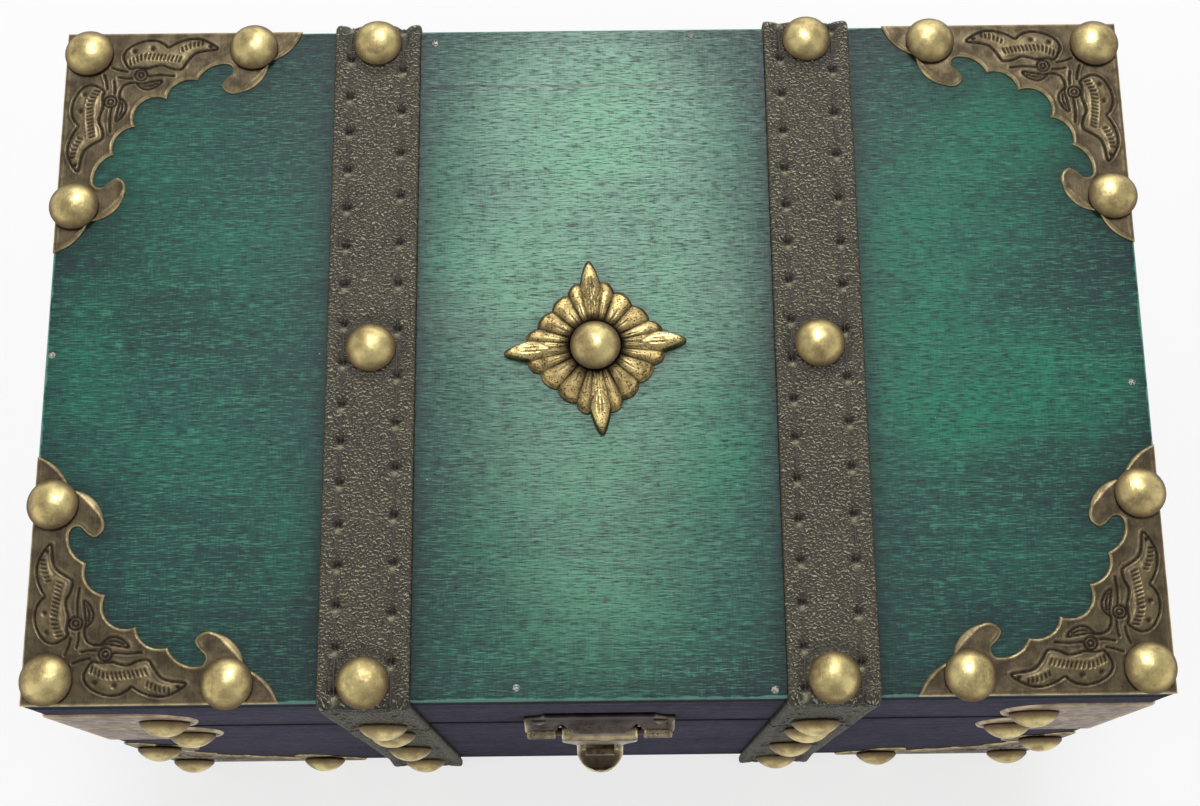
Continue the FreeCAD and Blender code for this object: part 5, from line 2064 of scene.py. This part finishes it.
    def _leaf(self, radius: Array, angles: Array, level: Array, rise: Array) -> tuple[Array, Array, Array]:
        """The almond leaves, the ribbed stems behind them and the leaves' creases.

        Args:
            radius: Each point's radius.
            angles: The angles.
            level: The height of the ground between the petals.
            rise: How far the crown has risen there.

        Returns:
            The leaf's height, or nothing beside it, the stem's height and the crease from 0 to 1.
        """
        crease_depth, crease_place, crease_half = self.crease
        rib_height, rib_place, rib_half = self.rib
        quarter = np.mod(angles + math.pi / 4, math.pi / 2) - math.pi / 4
        along, across = radius * np.cos(quarter), np.abs(radius * np.sin(quarter))
        travel = np.clip((along - self.leaf_start) / (1 - self.leaf_start), 0, 1)
        wide = np.maximum(self.leaf_half * np.sin(math.pi * travel ** 1.12) ** 0.50, 1e-4)
        round_over = np.sqrt(np.maximum(1 - (across / wide) ** 2, 0))
        crease = (bell(across - crease_place, crease_half) * ease((travel - 0.1) / 0.2)
                  * ease((0.7 - travel) / 0.3))
        leaf = (self.leaf_level + (1 - self.leaf_level) * round_over * (1 - self.leaf_fall * travel ** 3)
                - crease_depth * crease)
        ribs = level + rib_height * bell(across - rib_place, rib_half) * rise
        on_leaf = (across < wide) & (along > self.leaf_start)
        stem = np.where(on_leaf, ribs * (1 - travel), ribs - self.leaf_fall * ease((travel - 0.1) / 0.3))
        return np.where(on_leaf, leaf, 0), stem, crease


@dataclass
class Brackets:
    """The plain brackets wrapped round the four upright corners, above and below the slit."""

    finishes: Finishes
    rows: int = 49
    wide: int = 181
    crowding: Pair = (1.35, 0.55)
    corner_radius: float = 1.0
    roll: float = 0.5
    sunk: float = 0.12
    nail_inset: float = 7.0
    ring: Place = (0.16, 6.9, 0.55)
    shade_ring: Place = (0.6, 5.6, 0.5)
    pin: Place = (0.3, 11.0, 0.55)

    def build(self) -> None:
        """Makes all eight brackets."""
        for level, body in (("lid", Body.LID), ("body", Body.BOX)):
            for end, side_y in ENDS:
                for side, side_x in SIDES:
                    self._bracket(f"{level}_bracket_{end}_{side}", body, side_x, side_y)

    def _bracket(self, node: str, body: Body, side_x: int, side_y: int) -> None:
        """One bracket: a strip whose ends are half rounds, bent round the corner.

        A point's height is its share of the strip's half height there, which at an end is the circle's
        own chord. It stands out from the wood by the sheet's thickness, less a quarter circle's drop
        at the rim, plus a low ring round each nail, less a small pin hole.

        Args:
            node: The bracket's node.
            body: The body that it rides on.
            side_x: -1 for the left and 1 for the right.
            side_y: -1 for the front and 1 for the back.
        """
        low, high = node_box(node)
        wood = node_box("lid_top_panel")[1][:2]
        corner = box_corner(low, high, side_x, side_y)
        thickness = abs(abs(corner[0]) - wood[0])
        reach, end_radius = high[0] - low[0], (high[2] - low[2]) / 2
        turn = np.linspace(-1, 1, self.wide)
        power, crowded = self.crowding
        along = reach * (np.sign(turn) * (1 - (1 - np.abs(turn)) ** power) * crowded + (1 - crowded) * turn)
        share = np.sin(np.linspace(-math.pi / 2, math.pi / 2, self.rows))
        along, share = np.meshgrid(along, share, indexing="ij")
        past = np.maximum(np.abs(along) - (reach - end_radius), 0)
        up = share * np.sqrt(np.maximum(end_radius ** 2 - past ** 2, 0))
        rim = np.maximum(end_radius - np.hypot(past, up), 0)
        from_nail = np.hypot(np.abs(along) - (reach - self.nail_inset), up)
        height, radius, half = self.ring
        ring = height * bell(from_nail - radius, half)
        pin_depth, pin_place, pin_radius = self.pin
        pin = bell(np.hypot(np.abs(along) - pin_place, up), pin_radius, 4)
        drop = rounding(rim, self.roll) * thickness / self.roll
        sheet = thickness - self.sunk - drop + ring * (rim > self.roll) - pin_depth * pin
        sheet = np.clip(sheet, 0.02, thickness)
        level = (low[2] + high[2]) / 2 + up
        points = [np.dstack([self._wrapped(along, out, corner, side_x, side_y, wood), level]).reshape(-1, 3)
                  for out in (sheet, np.zeros(sheet.shape))]
        rub = 0.8 * bell(rim, 0.8) + 3.5 * ring + 0.6 * bell(along, 1.6)
        # Painted shade round each nail's dome and in the pin hole.
        shade, radius, half = self.shade_ring
        hollow = np.clip(shade * bell(from_nail - radius, half) + pin, 0, 1)
        fields = on_both(rub=np.clip(rub, 0, 1), hollow=hollow)
        new_piece(node + "_plate", Surface(np.concatenate(points), skin_faces(*along.shape), fields), body,
                  self.finishes.bracket, [node], weld=0.004)

    def _wrapped(self, along: Array, sheet: Array, corner: Array, side_x: int, side_y: int,
                 wood: Array) -> Array:
        """Flat places of the strip bent round the corner.

        Negative distances run along the front or back, and positive ones along the side. Within the
        bend the strip follows a quarter circle about a middle that lies inside the corner.

        Args:
            along: The distances from the corner.
            sheet: How far each point stands out from the wood.
            corner: The node's own corner.
            side_x: -1 for the left and 1 for the right.
            side_y: -1 for the front and 1 for the back.
            wood: The wood's corner.

        Returns:
            The X and Y of each point.
        """
        radius, bend = self.corner_radius, self.corner_radius * math.pi / 4
        turn = np.clip(along / bend, -1, 1) * math.pi / 4 + math.pi / 4
        middle = np.abs(corner) - radius
        spare = middle - wood
        x, y = (middle[axis] + (sheet - spare[axis]) * facing(turn) - np.maximum(past - bend, 0)
                for axis, facing, past in ((0, np.sin, -along), (1, np.cos, along)))
        return np.dstack([side_x * x, side_y * y])


@dataclass
class Hardware:
    """The hinges, the catch plate and the latch's pin: the nodes' own shapes with softened edges."""

    finishes: Finishes
    leaf_thickness: float = 1.0
    pins: tuple = ((-7.5, 7.0), (7.5, 7.0), (0.0, 10.5))
    pin_radius: float = 1.3
    pin_height: float = 0.55
    plate_bevel: float = 0.22
    leaf_bevel: float = 0.2
    pin_bevel: float = 0.15
    merged: float = 0.002
    flat_angle: float = math.radians(1.0)
    sharp_angle: float = math.radians(35)

    def build(self) -> None:
        """Makes the catch plate, the latch's pin, the hinges and their fixings."""
        finishes = self.finishes
        self._softened("latch_catch_plate", Body.BOX, finishes.latch, self.plate_bevel)
        self._softened("latch_pin", Body.LID, finishes.latch_dark, self.pin_bevel)
        for side, _ in SIDES:
            leaves = ((f"hinge_lid_leaf_{side}", Body.LID, 1), (f"hinge_body_leaf_{side}", Body.BOX, -1))
            for node, body, _ in leaves:
                self._softened(node, body, finishes.hinge, self.leaf_bevel)
            self._softened(f"hinge_pin_{side}", Body.BOX, finishes.hinge, self.pin_bevel)
            for node, body, facing in leaves:
                self._leaf_pins(node, body, facing)

    def _softened(self, node: str, body: Body, finish: Material, width: float) -> None:
        """A merged copy of a node's mesh with its flats made whole and its edges bevelled.

        Args:
            node: The node.
            body: The body that it rides on.
            finish: Its material.
            width: The bevel's width.
        """
        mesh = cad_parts[node].data.copy()
        mesh.materials.clear()
        shaped = bmesh.new()
        shaped.from_mesh(mesh)
        bmesh.ops.remove_doubles(shaped, verts=shaped.verts, dist=self.merged * MM)
        bmesh.ops.dissolve_limit(shaped, angle_limit=self.flat_angle, verts=shaped.verts, edges=shaped.edges)
        shaped.to_mesh(mesh)
        shaped.free()
        mesh.materials.append(finish)
        mesh.shade_smooth()
        piece = placed_object(node + "_metal", mesh)
        bevel = piece.modifiers.new("softened", "BEVEL")
        bevel.width = width * MM
        bevel.segments = 3
        bevel.limit_method = "ANGLE"
        bevel.angle_limit = self.sharp_angle
        bevel.harden_normals = True
        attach(piece, body.value)
        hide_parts(node)
        LOG.info("%s: softened by %.2f mm", node, width)

    def _leaf_pins(self, node: str, body: Body, side: int) -> None:
        """Three small round-headed pins in a hinge leaf, two by the knuckle and one beyond.

        Args:
            node: The leaf's node.
            body: The body that it rides on.
            side: 1 above the hinge's line and -1 below it.
        """
        low, high = node_box(node)
        face = node_box("body_back_panel")[1][1] + self.leaf_thickness
        pin_low, pin_high = node_box("hinge_pin_left")
        level = (pin_low[2] + pin_high[2]) / 2
        middle = (low[0] + high[0]) / 2
        heads = [small_dome(np.array([middle + across, face, level + side * up]), 1, self.pin_radius,
                            self.pin_height) for across, up in self.pins]
        new_piece(node + "_fixings", joined(heads), body, self.finishes.hinge)


@dataclass
class Latch:
    """The latch's hooded lid plate and its flap, in millimetres out from the front and up from the pin.

    A step is where a smooth step starts and over what distance it grows.
    """

    finishes: Finishes
    axis: Array = field(init=False)
    wall: float = field(init=False)
    half_width: float = 17.0
    plate: float = 1.0
    shoulder: float = 4.5
    plate_foot: Pair = (0.5, 2.8)
    foot_step: Pair = (9.9, 1.1)
    hood_reach: float = 2.8
    hood_steps: tuple = ((9.4, 4.2), (10.0, 6.4))
    side_reach: float = 1.7
    side_steps: tuple = ((7.6, 2.6), (6.2, 4.6))
    curl_reach: float = 0.35
    curl_step: Pair = (15.2, 1.6)
    plate_roll: float = 0.4
    dents: float = 0.05
    barrel: float = 2.2
    side_barrel: float = 1.7
    knuckle: Pair = (10.0, 16.6)
    barrel_sides: int = 40
    flap_half: float = 8.7
    neck_half: float = 5.5
    neck_step: Pair = (3.2, 9.5)
    neck_power: float = 1.4
    sheet: float = 1.0
    sheet_roll: float = 0.55
    lip_step: Pair = (15.5, 4.0)
    lip_growth: float = 0.25
    lip_dish: float = 0.30
    slot: Place = (4.0, -10.2, -16.2)
    slot_share: float = 0.62
    curve: tuple = ((1.70, 0.0), (1.70, -7.0), (1.78, -12.0), (2.38, -17.2), (4.0, -20.4), (6.2, -21.45),
                    (7.55, -21.1))

    def build(self) -> None:
        """Makes the plate with its two knuckles, and the flap with its barrel."""
        low, high = node_box("latch_pin")
        self.axis = (low + high) / 2
        self.wall = node_box("body_front_panel")[0][1]
        near, far = self.knuckle
        knuckles = [self._rod(start, end, self.side_barrel) for start, end in ((-far, -near), (near, far))]
        flap = joined([self._rod(-self.flap_half, self.flap_half, self.barrel), self._sheet()])
        for node, surface, body, finish in (
                ("latch_lid_plate", joined([self._plate(), *knuckles]), Body.LID, self.finishes.latch_dark),
                ("latch_flap", flap, Body.FLAP, self.finishes.latch)):
            new_piece(node + "_metal", surface, body, finish, [node])

    def _rod(self, start: float, end: float, radius: float) -> Surface:
        """A barrel round the pin's line, its ends rounded over, a little uneven as rolled sheet is.

        Args:
            start: Its start along X.
            end: Its end along X.
            radius: Its radius.

        Returns:
            The barrel, with a painted highlight along its top and rubbed at its ends, and painted shade
            below.
        """
        round_over = 0.35 * radius
        turns, rounded = full_turn(self.barrel_sides), np.linspace(0, math.pi / 2, 6)
        x = np.concatenate([start + round_over * (1 - np.cos(rounded)),
                            np.linspace(start + round_over, end - round_over, 24)[1:-1],
                            end - round_over * (1 - np.cos(rounded[::-1]))])
        gap = np.minimum(x - start, end - x)
        uneven = 1 - 0.012 * (1 + np.sin(3 * turns + 0.7 * x[:, None]))
        rings = (radius - rounding(gap, round_over))[:, None] * uneven
        points = revolved(self.axis, 0, rings, x, turns)
        row = np.ones((len(x), 1))
        # A painted highlight along the barrel's top, rubbing at its ends, and painted shade underneath.
        rub = np.clip(0.55 * ease((np.sin(turns) - 0.1) / 0.8) + 0.6 * ease(1 - gap / 0.9)[:, None], 0, 1)
        hollow = 0.8 * ease(-np.sin(turns)) * row
        return Surface(points, tube_faces(len(x), self.barrel_sides, both=True),
                       {"rub": rub.ravel(), "hollow": hollow.ravel()})

    @staticmethod
    def _stepped(values: Array, step: Pair) -> Array:
        """A smooth step up over a distance, from where it starts."""
        start, distance = step
        return ease((values - start) / distance)

    @staticmethod
    def _fallen(values: Array, step: Pair) -> Array:
        """A smooth step down over a distance, to where it ends."""
        end, distance = step
        return ease((end - values) / distance)

    def _plate(self) -> Surface:
        """The plate on the lid: shouldered above, hooded over the flap's barrel, rolled to the knuckles.

        The half width above the shoulders is the full half width less the chord of a quarter circle.
        The front stands out by the sheet, plus the hood and the rolls, which grow downwards as smooth
        steps. Near the outline it falls in a quarter circle.

        Returns:
            The plate, rubbed along its lower edge and its sides.
        """
        top = node_box("latch_lid_plate")[1][2]
        turn = np.sin(np.linspace(-math.pi / 2, math.pi / 2, 97)) * 0.4 + np.linspace(-1, 1, 97) * 0.6
        shares, turns = np.meshgrid(np.sin(np.linspace(0, math.pi / 2, 30)), turn, indexing="ij")
        clearance, rise = self.plate_foot
        foot = self.axis[2] + clearance + rise * self._fallen(np.abs(turns) * self.half_width, self.foot_step)
        z = foot + (top - foot) * shares
        below = np.clip(top - z, 0, self.shoulder)
        width_here = self.half_width - np.sqrt(self.shoulder ** 2 - below ** 2)
        x, up = turns * width_here, z - self.axis[2]
        across = np.abs(x)
        hood = self._fallen(across, self.hood_steps[0]) * self._fallen(up, self.hood_steps[1]) ** 1.2
        roll = self._stepped(across, self.side_steps[0]) * self._fallen(up, self.side_steps[1])
        curl = self.curl_reach * self._stepped(across, self.curl_step)
        out = self.plate + self.hood_reach * hood + self.side_reach * roll + curl
        rim = np.minimum(np.minimum(width_here - across, top - z), z - foot)
        dented = self.dents * np.sin(0.9 * x + 1.0) * np.sin(0.8 * up)
        front = out - rounding(np.maximum(rim, 0), self.plate_roll) + dented
        points = [np.stack([x, self.wall - level, z], axis=-1).reshape(-1, 3)
                  for level in (front, np.full(x.shape, 0.01))]
        low_edge = bell(z - foot, 0.55)
        rub = np.clip(low_edge + 0.6 * bell(width_here - across, 0.5) + curl, 0, 1)
        hollow = 0.8 * ease((0.5 - hood) / 0.5) * ease(0.7 - low_edge) * ease((up - 3) / 6)
        return Surface(np.concatenate(points), skin_faces(*x.shape), on_both(rub=rub, hollow=hollow))

    def _sheet(self) -> Surface:
        """The flap's sheet: hangs from its barrel, narrows to a neck, and curls out into a round lip.

        Both faces lie off the curve by half the sheet, less within a quarter circle of every edge, so
        that they meet there. The columns beside the slot keep to its sides.

        Returns:
            The sheet, rubbed at its edges and dark in its lip.
        """
        line = smooth_line(self.curve, 24)
        travel = travelled(line)
        slot_half, slot_top, slot_foot = self.slot
        falling = line[:, 1].argmin() + 1
        marks = [np.interp(-level, -line[:falling, 1], travel[:falling]) for level in (slot_top, slot_foot)]
        stops, slot_rows = self._lines([0.0, *marks, travel[-1]], (10, 12, 22))
        shares, slot_columns = self._lines([-1.0, -self.slot_share, self.slot_share, 1.0], (12, 16, 12))
        along, share = np.meshgrid(stops, shares, indexing="ij")
        down = -np.interp(along, travel, line[:, 1])
        neck = self.neck_half + ((self.flap_half - self.neck_half)
                                 * (1 - self._stepped(down, self.neck_step)) ** self.neck_power)
        left = np.clip(travel[-1] - along, 0, self.neck_half)
        half = neck * np.sqrt(np.maximum(1 - ((self.neck_half - left) / self.neck_half) ** 2, 1e-6))
        inner = np.minimum(slot_half, self.slot_share * half)
        beyond = (np.abs(share) - self.slot_share) / (1 - self.slot_share)
        x = np.sign(share) * np.where(beyond < 0, inner * np.abs(share) / self.slot_share,
                                      inner + (half - inner) * beyond)
        side_gap = np.maximum(np.abs(x) - slot_half, 0)
        end_gap = np.maximum(np.maximum(marks[0] - along, along - marks[1]), 0)
        rim = np.minimum(half - np.abs(x), np.hypot(side_gap, end_gap))
        rim = np.minimum(rim, travel[-1] - along)
        lip = self._stepped(down, self.lip_step)
        held = np.clip(rim, 0, self.sheet_roll)
        thick = (self.sheet / 2 * (1 + self.lip_growth * lip)
                 * np.sqrt(np.maximum(1 - ((self.sheet_roll - held) / self.sheet_roll) ** 2, 0)))
        slopes = np.gradient(line, axis=0)
        slopes /= np.linalg.norm(slopes, axis=1, keepdims=True)
        middle, slope = at_stops(along, travel, line), at_stops(along, travel, slopes)
        facing = np.stack([-slope[..., 1], slope[..., 0]], axis=-1)
        dished = -self.lip_dish * lip * (1 - (np.abs(x) / np.maximum(half, 0.5)) ** 2)
        points = []
        for side in (1, -1):
            place = middle + facing * (side * thick + dished)[..., None]
            points.append(np.stack([x, self.axis[1] - place[..., 0], self.axis[2] + place[..., 1]],
                                   axis=-1).reshape(-1, 3))
        quads = grid_faces(len(stops), len(shares))
        row, column = np.divmod(quads[:, 0], len(shares))
        in_rows = (row >= slot_rows[0]) & (row < slot_rows[1])
        kept = quads[~(in_rows & (column >= slot_columns[0]) & (column < slot_columns[1]))]
        faces = np.concatenate([kept, kept[:, ::-1] + len(stops) * len(shares)])
        rub = np.clip(bell(rim, 0.45) + 0.25 * ease((down - 2) / 3) * (1 - lip), 0, 1)
        hollow = np.clip(0.75 * lip * ease(rim / 1.6), 0, 1)
        return Surface(np.concatenate(points), faces, on_both(rub=rub, hollow=hollow))

    @staticmethod
    def _lines(stops: Sequence[float], counts: Sequence[int]) -> tuple[Array, tuple[int, int]]:
        """Places in three stretches, close together at each stretch's ends.

        Args:
            stops: The stretches' ends.
            counts: The number of steps in each stretch.

        Returns:
            The places, and the numbers of those where the middle stretch starts and ends.
        """
        rows = [stops[0:1]]
        for start, end, count in zip(stops[:-1], stops[1:], counts):
            turn = np.linspace(0, math.pi, count + 1)[1:]
            rows.append(start + (end - start) * (1 - np.cos(turn)) / 2)
        return np.concatenate(rows), (counts[0], counts[0] + counts[1])


def small_dome(place: Array, axis: int, radius: float, height: float) -> Surface:
    """A low dome as a surface of revolution whose profile is a quarter ellipse.

    Args:
        place: The middle of its foot.
        axis: The axis that it stands along, facing the high end.
        radius: Its foot's radius.
        height: Its height.

    Returns:
        The dome, closed at its foot, with a rub value that grows to the crown.
    """
    most_rub = 0.8
    angles, turns = np.linspace(0, math.pi / 2, 7), full_turn(18)
    levels = place[axis] + height * np.cos(angles)
    points = revolved(place, axis, radius * np.sin(angles)[:, None], levels, turns)
    rub = np.repeat(np.cos(angles), len(turns)) * most_rub
    return Surface(points, tube_faces(len(angles), len(turns)), {"rub": rub, "hollow": (most_rub - rub) / 2})


@dataclass
class Brads:
    """The small pale brads that hold the lid's top board."""

    finishes: Finishes
    places: tuple = ((-36.0, 73.8), (22.6, 75.1), (-118.6, -0.4), (116.6, -9.2), (-17.2, -74.3),
                     (36.6, -75.3))
    radius: float = 0.85
    height: float = 0.10
    sunk: float = 0.03

    def build(self) -> None:
        """Makes the brads, almost flush with the board."""
        foot = node_box("lid_top_panel")[1][2] - self.sunk
        heads = [small_dome(np.array([x, y, foot]), 2, self.radius, self.height) for x, y in self.places]
        new_piece("lid_top_brads", joined(heads), Body.LID, self.finishes.brad)


@dataclass
class Studio:
    """The pale floor, the soft lights and the camera, in metres.

    A lamp is its name, its place, its width and height, and its power in watts.
    """

    lens: float = 49.33
    sensor: float = 36.0
    shift: Pair = (-0.005, 0.0808)
    clips: Pair = (0.01, 50.0)
    place: Place = (0.0009, -0.1183, 0.4709)
    right: Place = (0.99993, -0.01143, 0.00023)
    up: Place = (0.01104, 0.97088, 0.23931)
    back: Place = (-0.00296, -0.23929, 0.97094)
    floor_tone: float = 0.94
    floor_reach: float = 9.0
    backdrop_reach: float = 12.5
    backdrop_height: float = 6.5
    floor_sides: int = 96
    surround_low: float = 0.20
    surround_rise: float = 0.34
    aim: Place = (0.0, 0.0, 0.1)
    lamps: tuple = (("key", (0.02, 0.66, 1.20), (0.30, 0.80), 8.8),
                    ("fill_left", (-1.30, -0.50, 0.90), (1.7, 1.7), 4.6),
                    ("fill_right", (1.30, -0.60, 0.85), (1.7, 1.7), 3.4),
                    ("back", (0.10, 1.30, 0.60), (1.2, 0.35), 2.8))

    def build(self) -> None:
        """Makes the floor, the world, the lamps and the camera."""
        self._floor()
        self._world()
        for lamp in self.lamps:
            self._lamp(*lamp)
        self._camera()

    def _floor(self) -> None:
        """A wide round floor at the box's underside, whose far edge slopes up as a backdrop."""
        turns = full_turn(self.floor_sides)
        circle = np.stack([np.cos(turns), np.sin(turns), np.zeros_like(turns)], axis=1)
        edge = circle * self.backdrop_reach + np.array((0.0, 0.0, self.backdrop_height))
        points = np.concatenate([edge, circle * self.floor_reach])
        mesh = bpy.data.meshes.new("floor")
        mesh.from_pydata(points.tolist(), [], tube_faces(2, self.floor_sides))
        mesh.materials.append(Ground("floor_pale", self.floor_tone).build())
        placed_object("floor", mesh)

    def _world(self) -> None:
        """A pale surround: its light grows from the horizon to the top by the square of the height."""
        world = bpy.data.worlds.new("surround")
        world.use_nodes = True
        net = Net(world.node_tree)
        world.node_tree.nodes.clear()
        height = net.maths("MINIMUM", net.parts(net.put("NewGeometry").outputs["Incoming"])["Z"], 0.0)
        rise = net.times(net.times(height, height), self.surround_rise)
        surround = net.put("Background", {"Color": WHITE, "Strength": net.plus(rise, self.surround_low)})
        net.feed(net.put("OutputWorld").inputs["Surface"], surround.outputs[0])
        bpy.context.scene.world = world

    def _lamp(self, name: str, place: Place, size: Pair, power: float) -> None:
        """A soft light that faces the lid.

        Args:
            name: Its name.
            place: Its place.
            size: Its width and height.
            power: Its power in watts.
        """
        light = bpy.data.lights.new(name, "AREA")
        light.shape = "RECTANGLE"
        light.size, light.size_y = size
        light.energy = power
        lamp = placed_object(name, light)
        lamp.location = place
        lamp.rotation_mode = "QUATERNION"
        lamp.rotation_quaternion = (Vector(self.aim) - Vector(place)).to_track_quat("-Z", "Y")

    def _camera(self) -> None:
        """The camera at the photograph's viewing angle."""
        data = bpy.data.cameras.new("view")
        data.lens = self.lens
        data.sensor_width = self.sensor
        data.sensor_fit = "HORIZONTAL"
        data.shift_x, data.shift_y = self.shift
        data.clip_start, data.clip_end = self.clips
        camera = placed_object("view", data)
        turn = Matrix((self.right, self.up, self.back)).transposed().to_4x4()
        camera.matrix_world = Matrix.Translation(self.place) @ turn
        bpy.context.scene.camera = camera


def main() -> None:
    """Builds every piece round the parts imported from model.glb."""
    logging.basicConfig(level=logging.INFO, format="%(name)s %(message)s")
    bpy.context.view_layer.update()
    bpy.context.scene.view_settings.view_transform = "Standard"
    finishes = Finishes()
    Carcass(finishes).build()
    Straps(finishes).build()
    for body, groups in (
            (Body.LID, ("lid_fitting_nails", "lid_strap_nails", "lid_bracket_nails", "lid_rosette_nail")),
            (Body.BOX, ("body_fitting_nails", "body_strap_nails", "body_bracket_nails"))):
        for node in groups:
            NailGroup(node, body, Slot.NAIL, finishes.nail).build()
    for body, node in ((Body.LID, "latch_lid_rivets"), (Body.BOX, "latch_body_rivets")):
        NailGroup(node, body, Slot.HARDWARE, finishes.latch_dark, sides=24, rings=8).build()
    for part in (Fittings, Rosette, Brackets, Hardware, Latch, Brads):
        part(finishes).build()
    Studio().build()


if __name__ == "__main__":
    main()
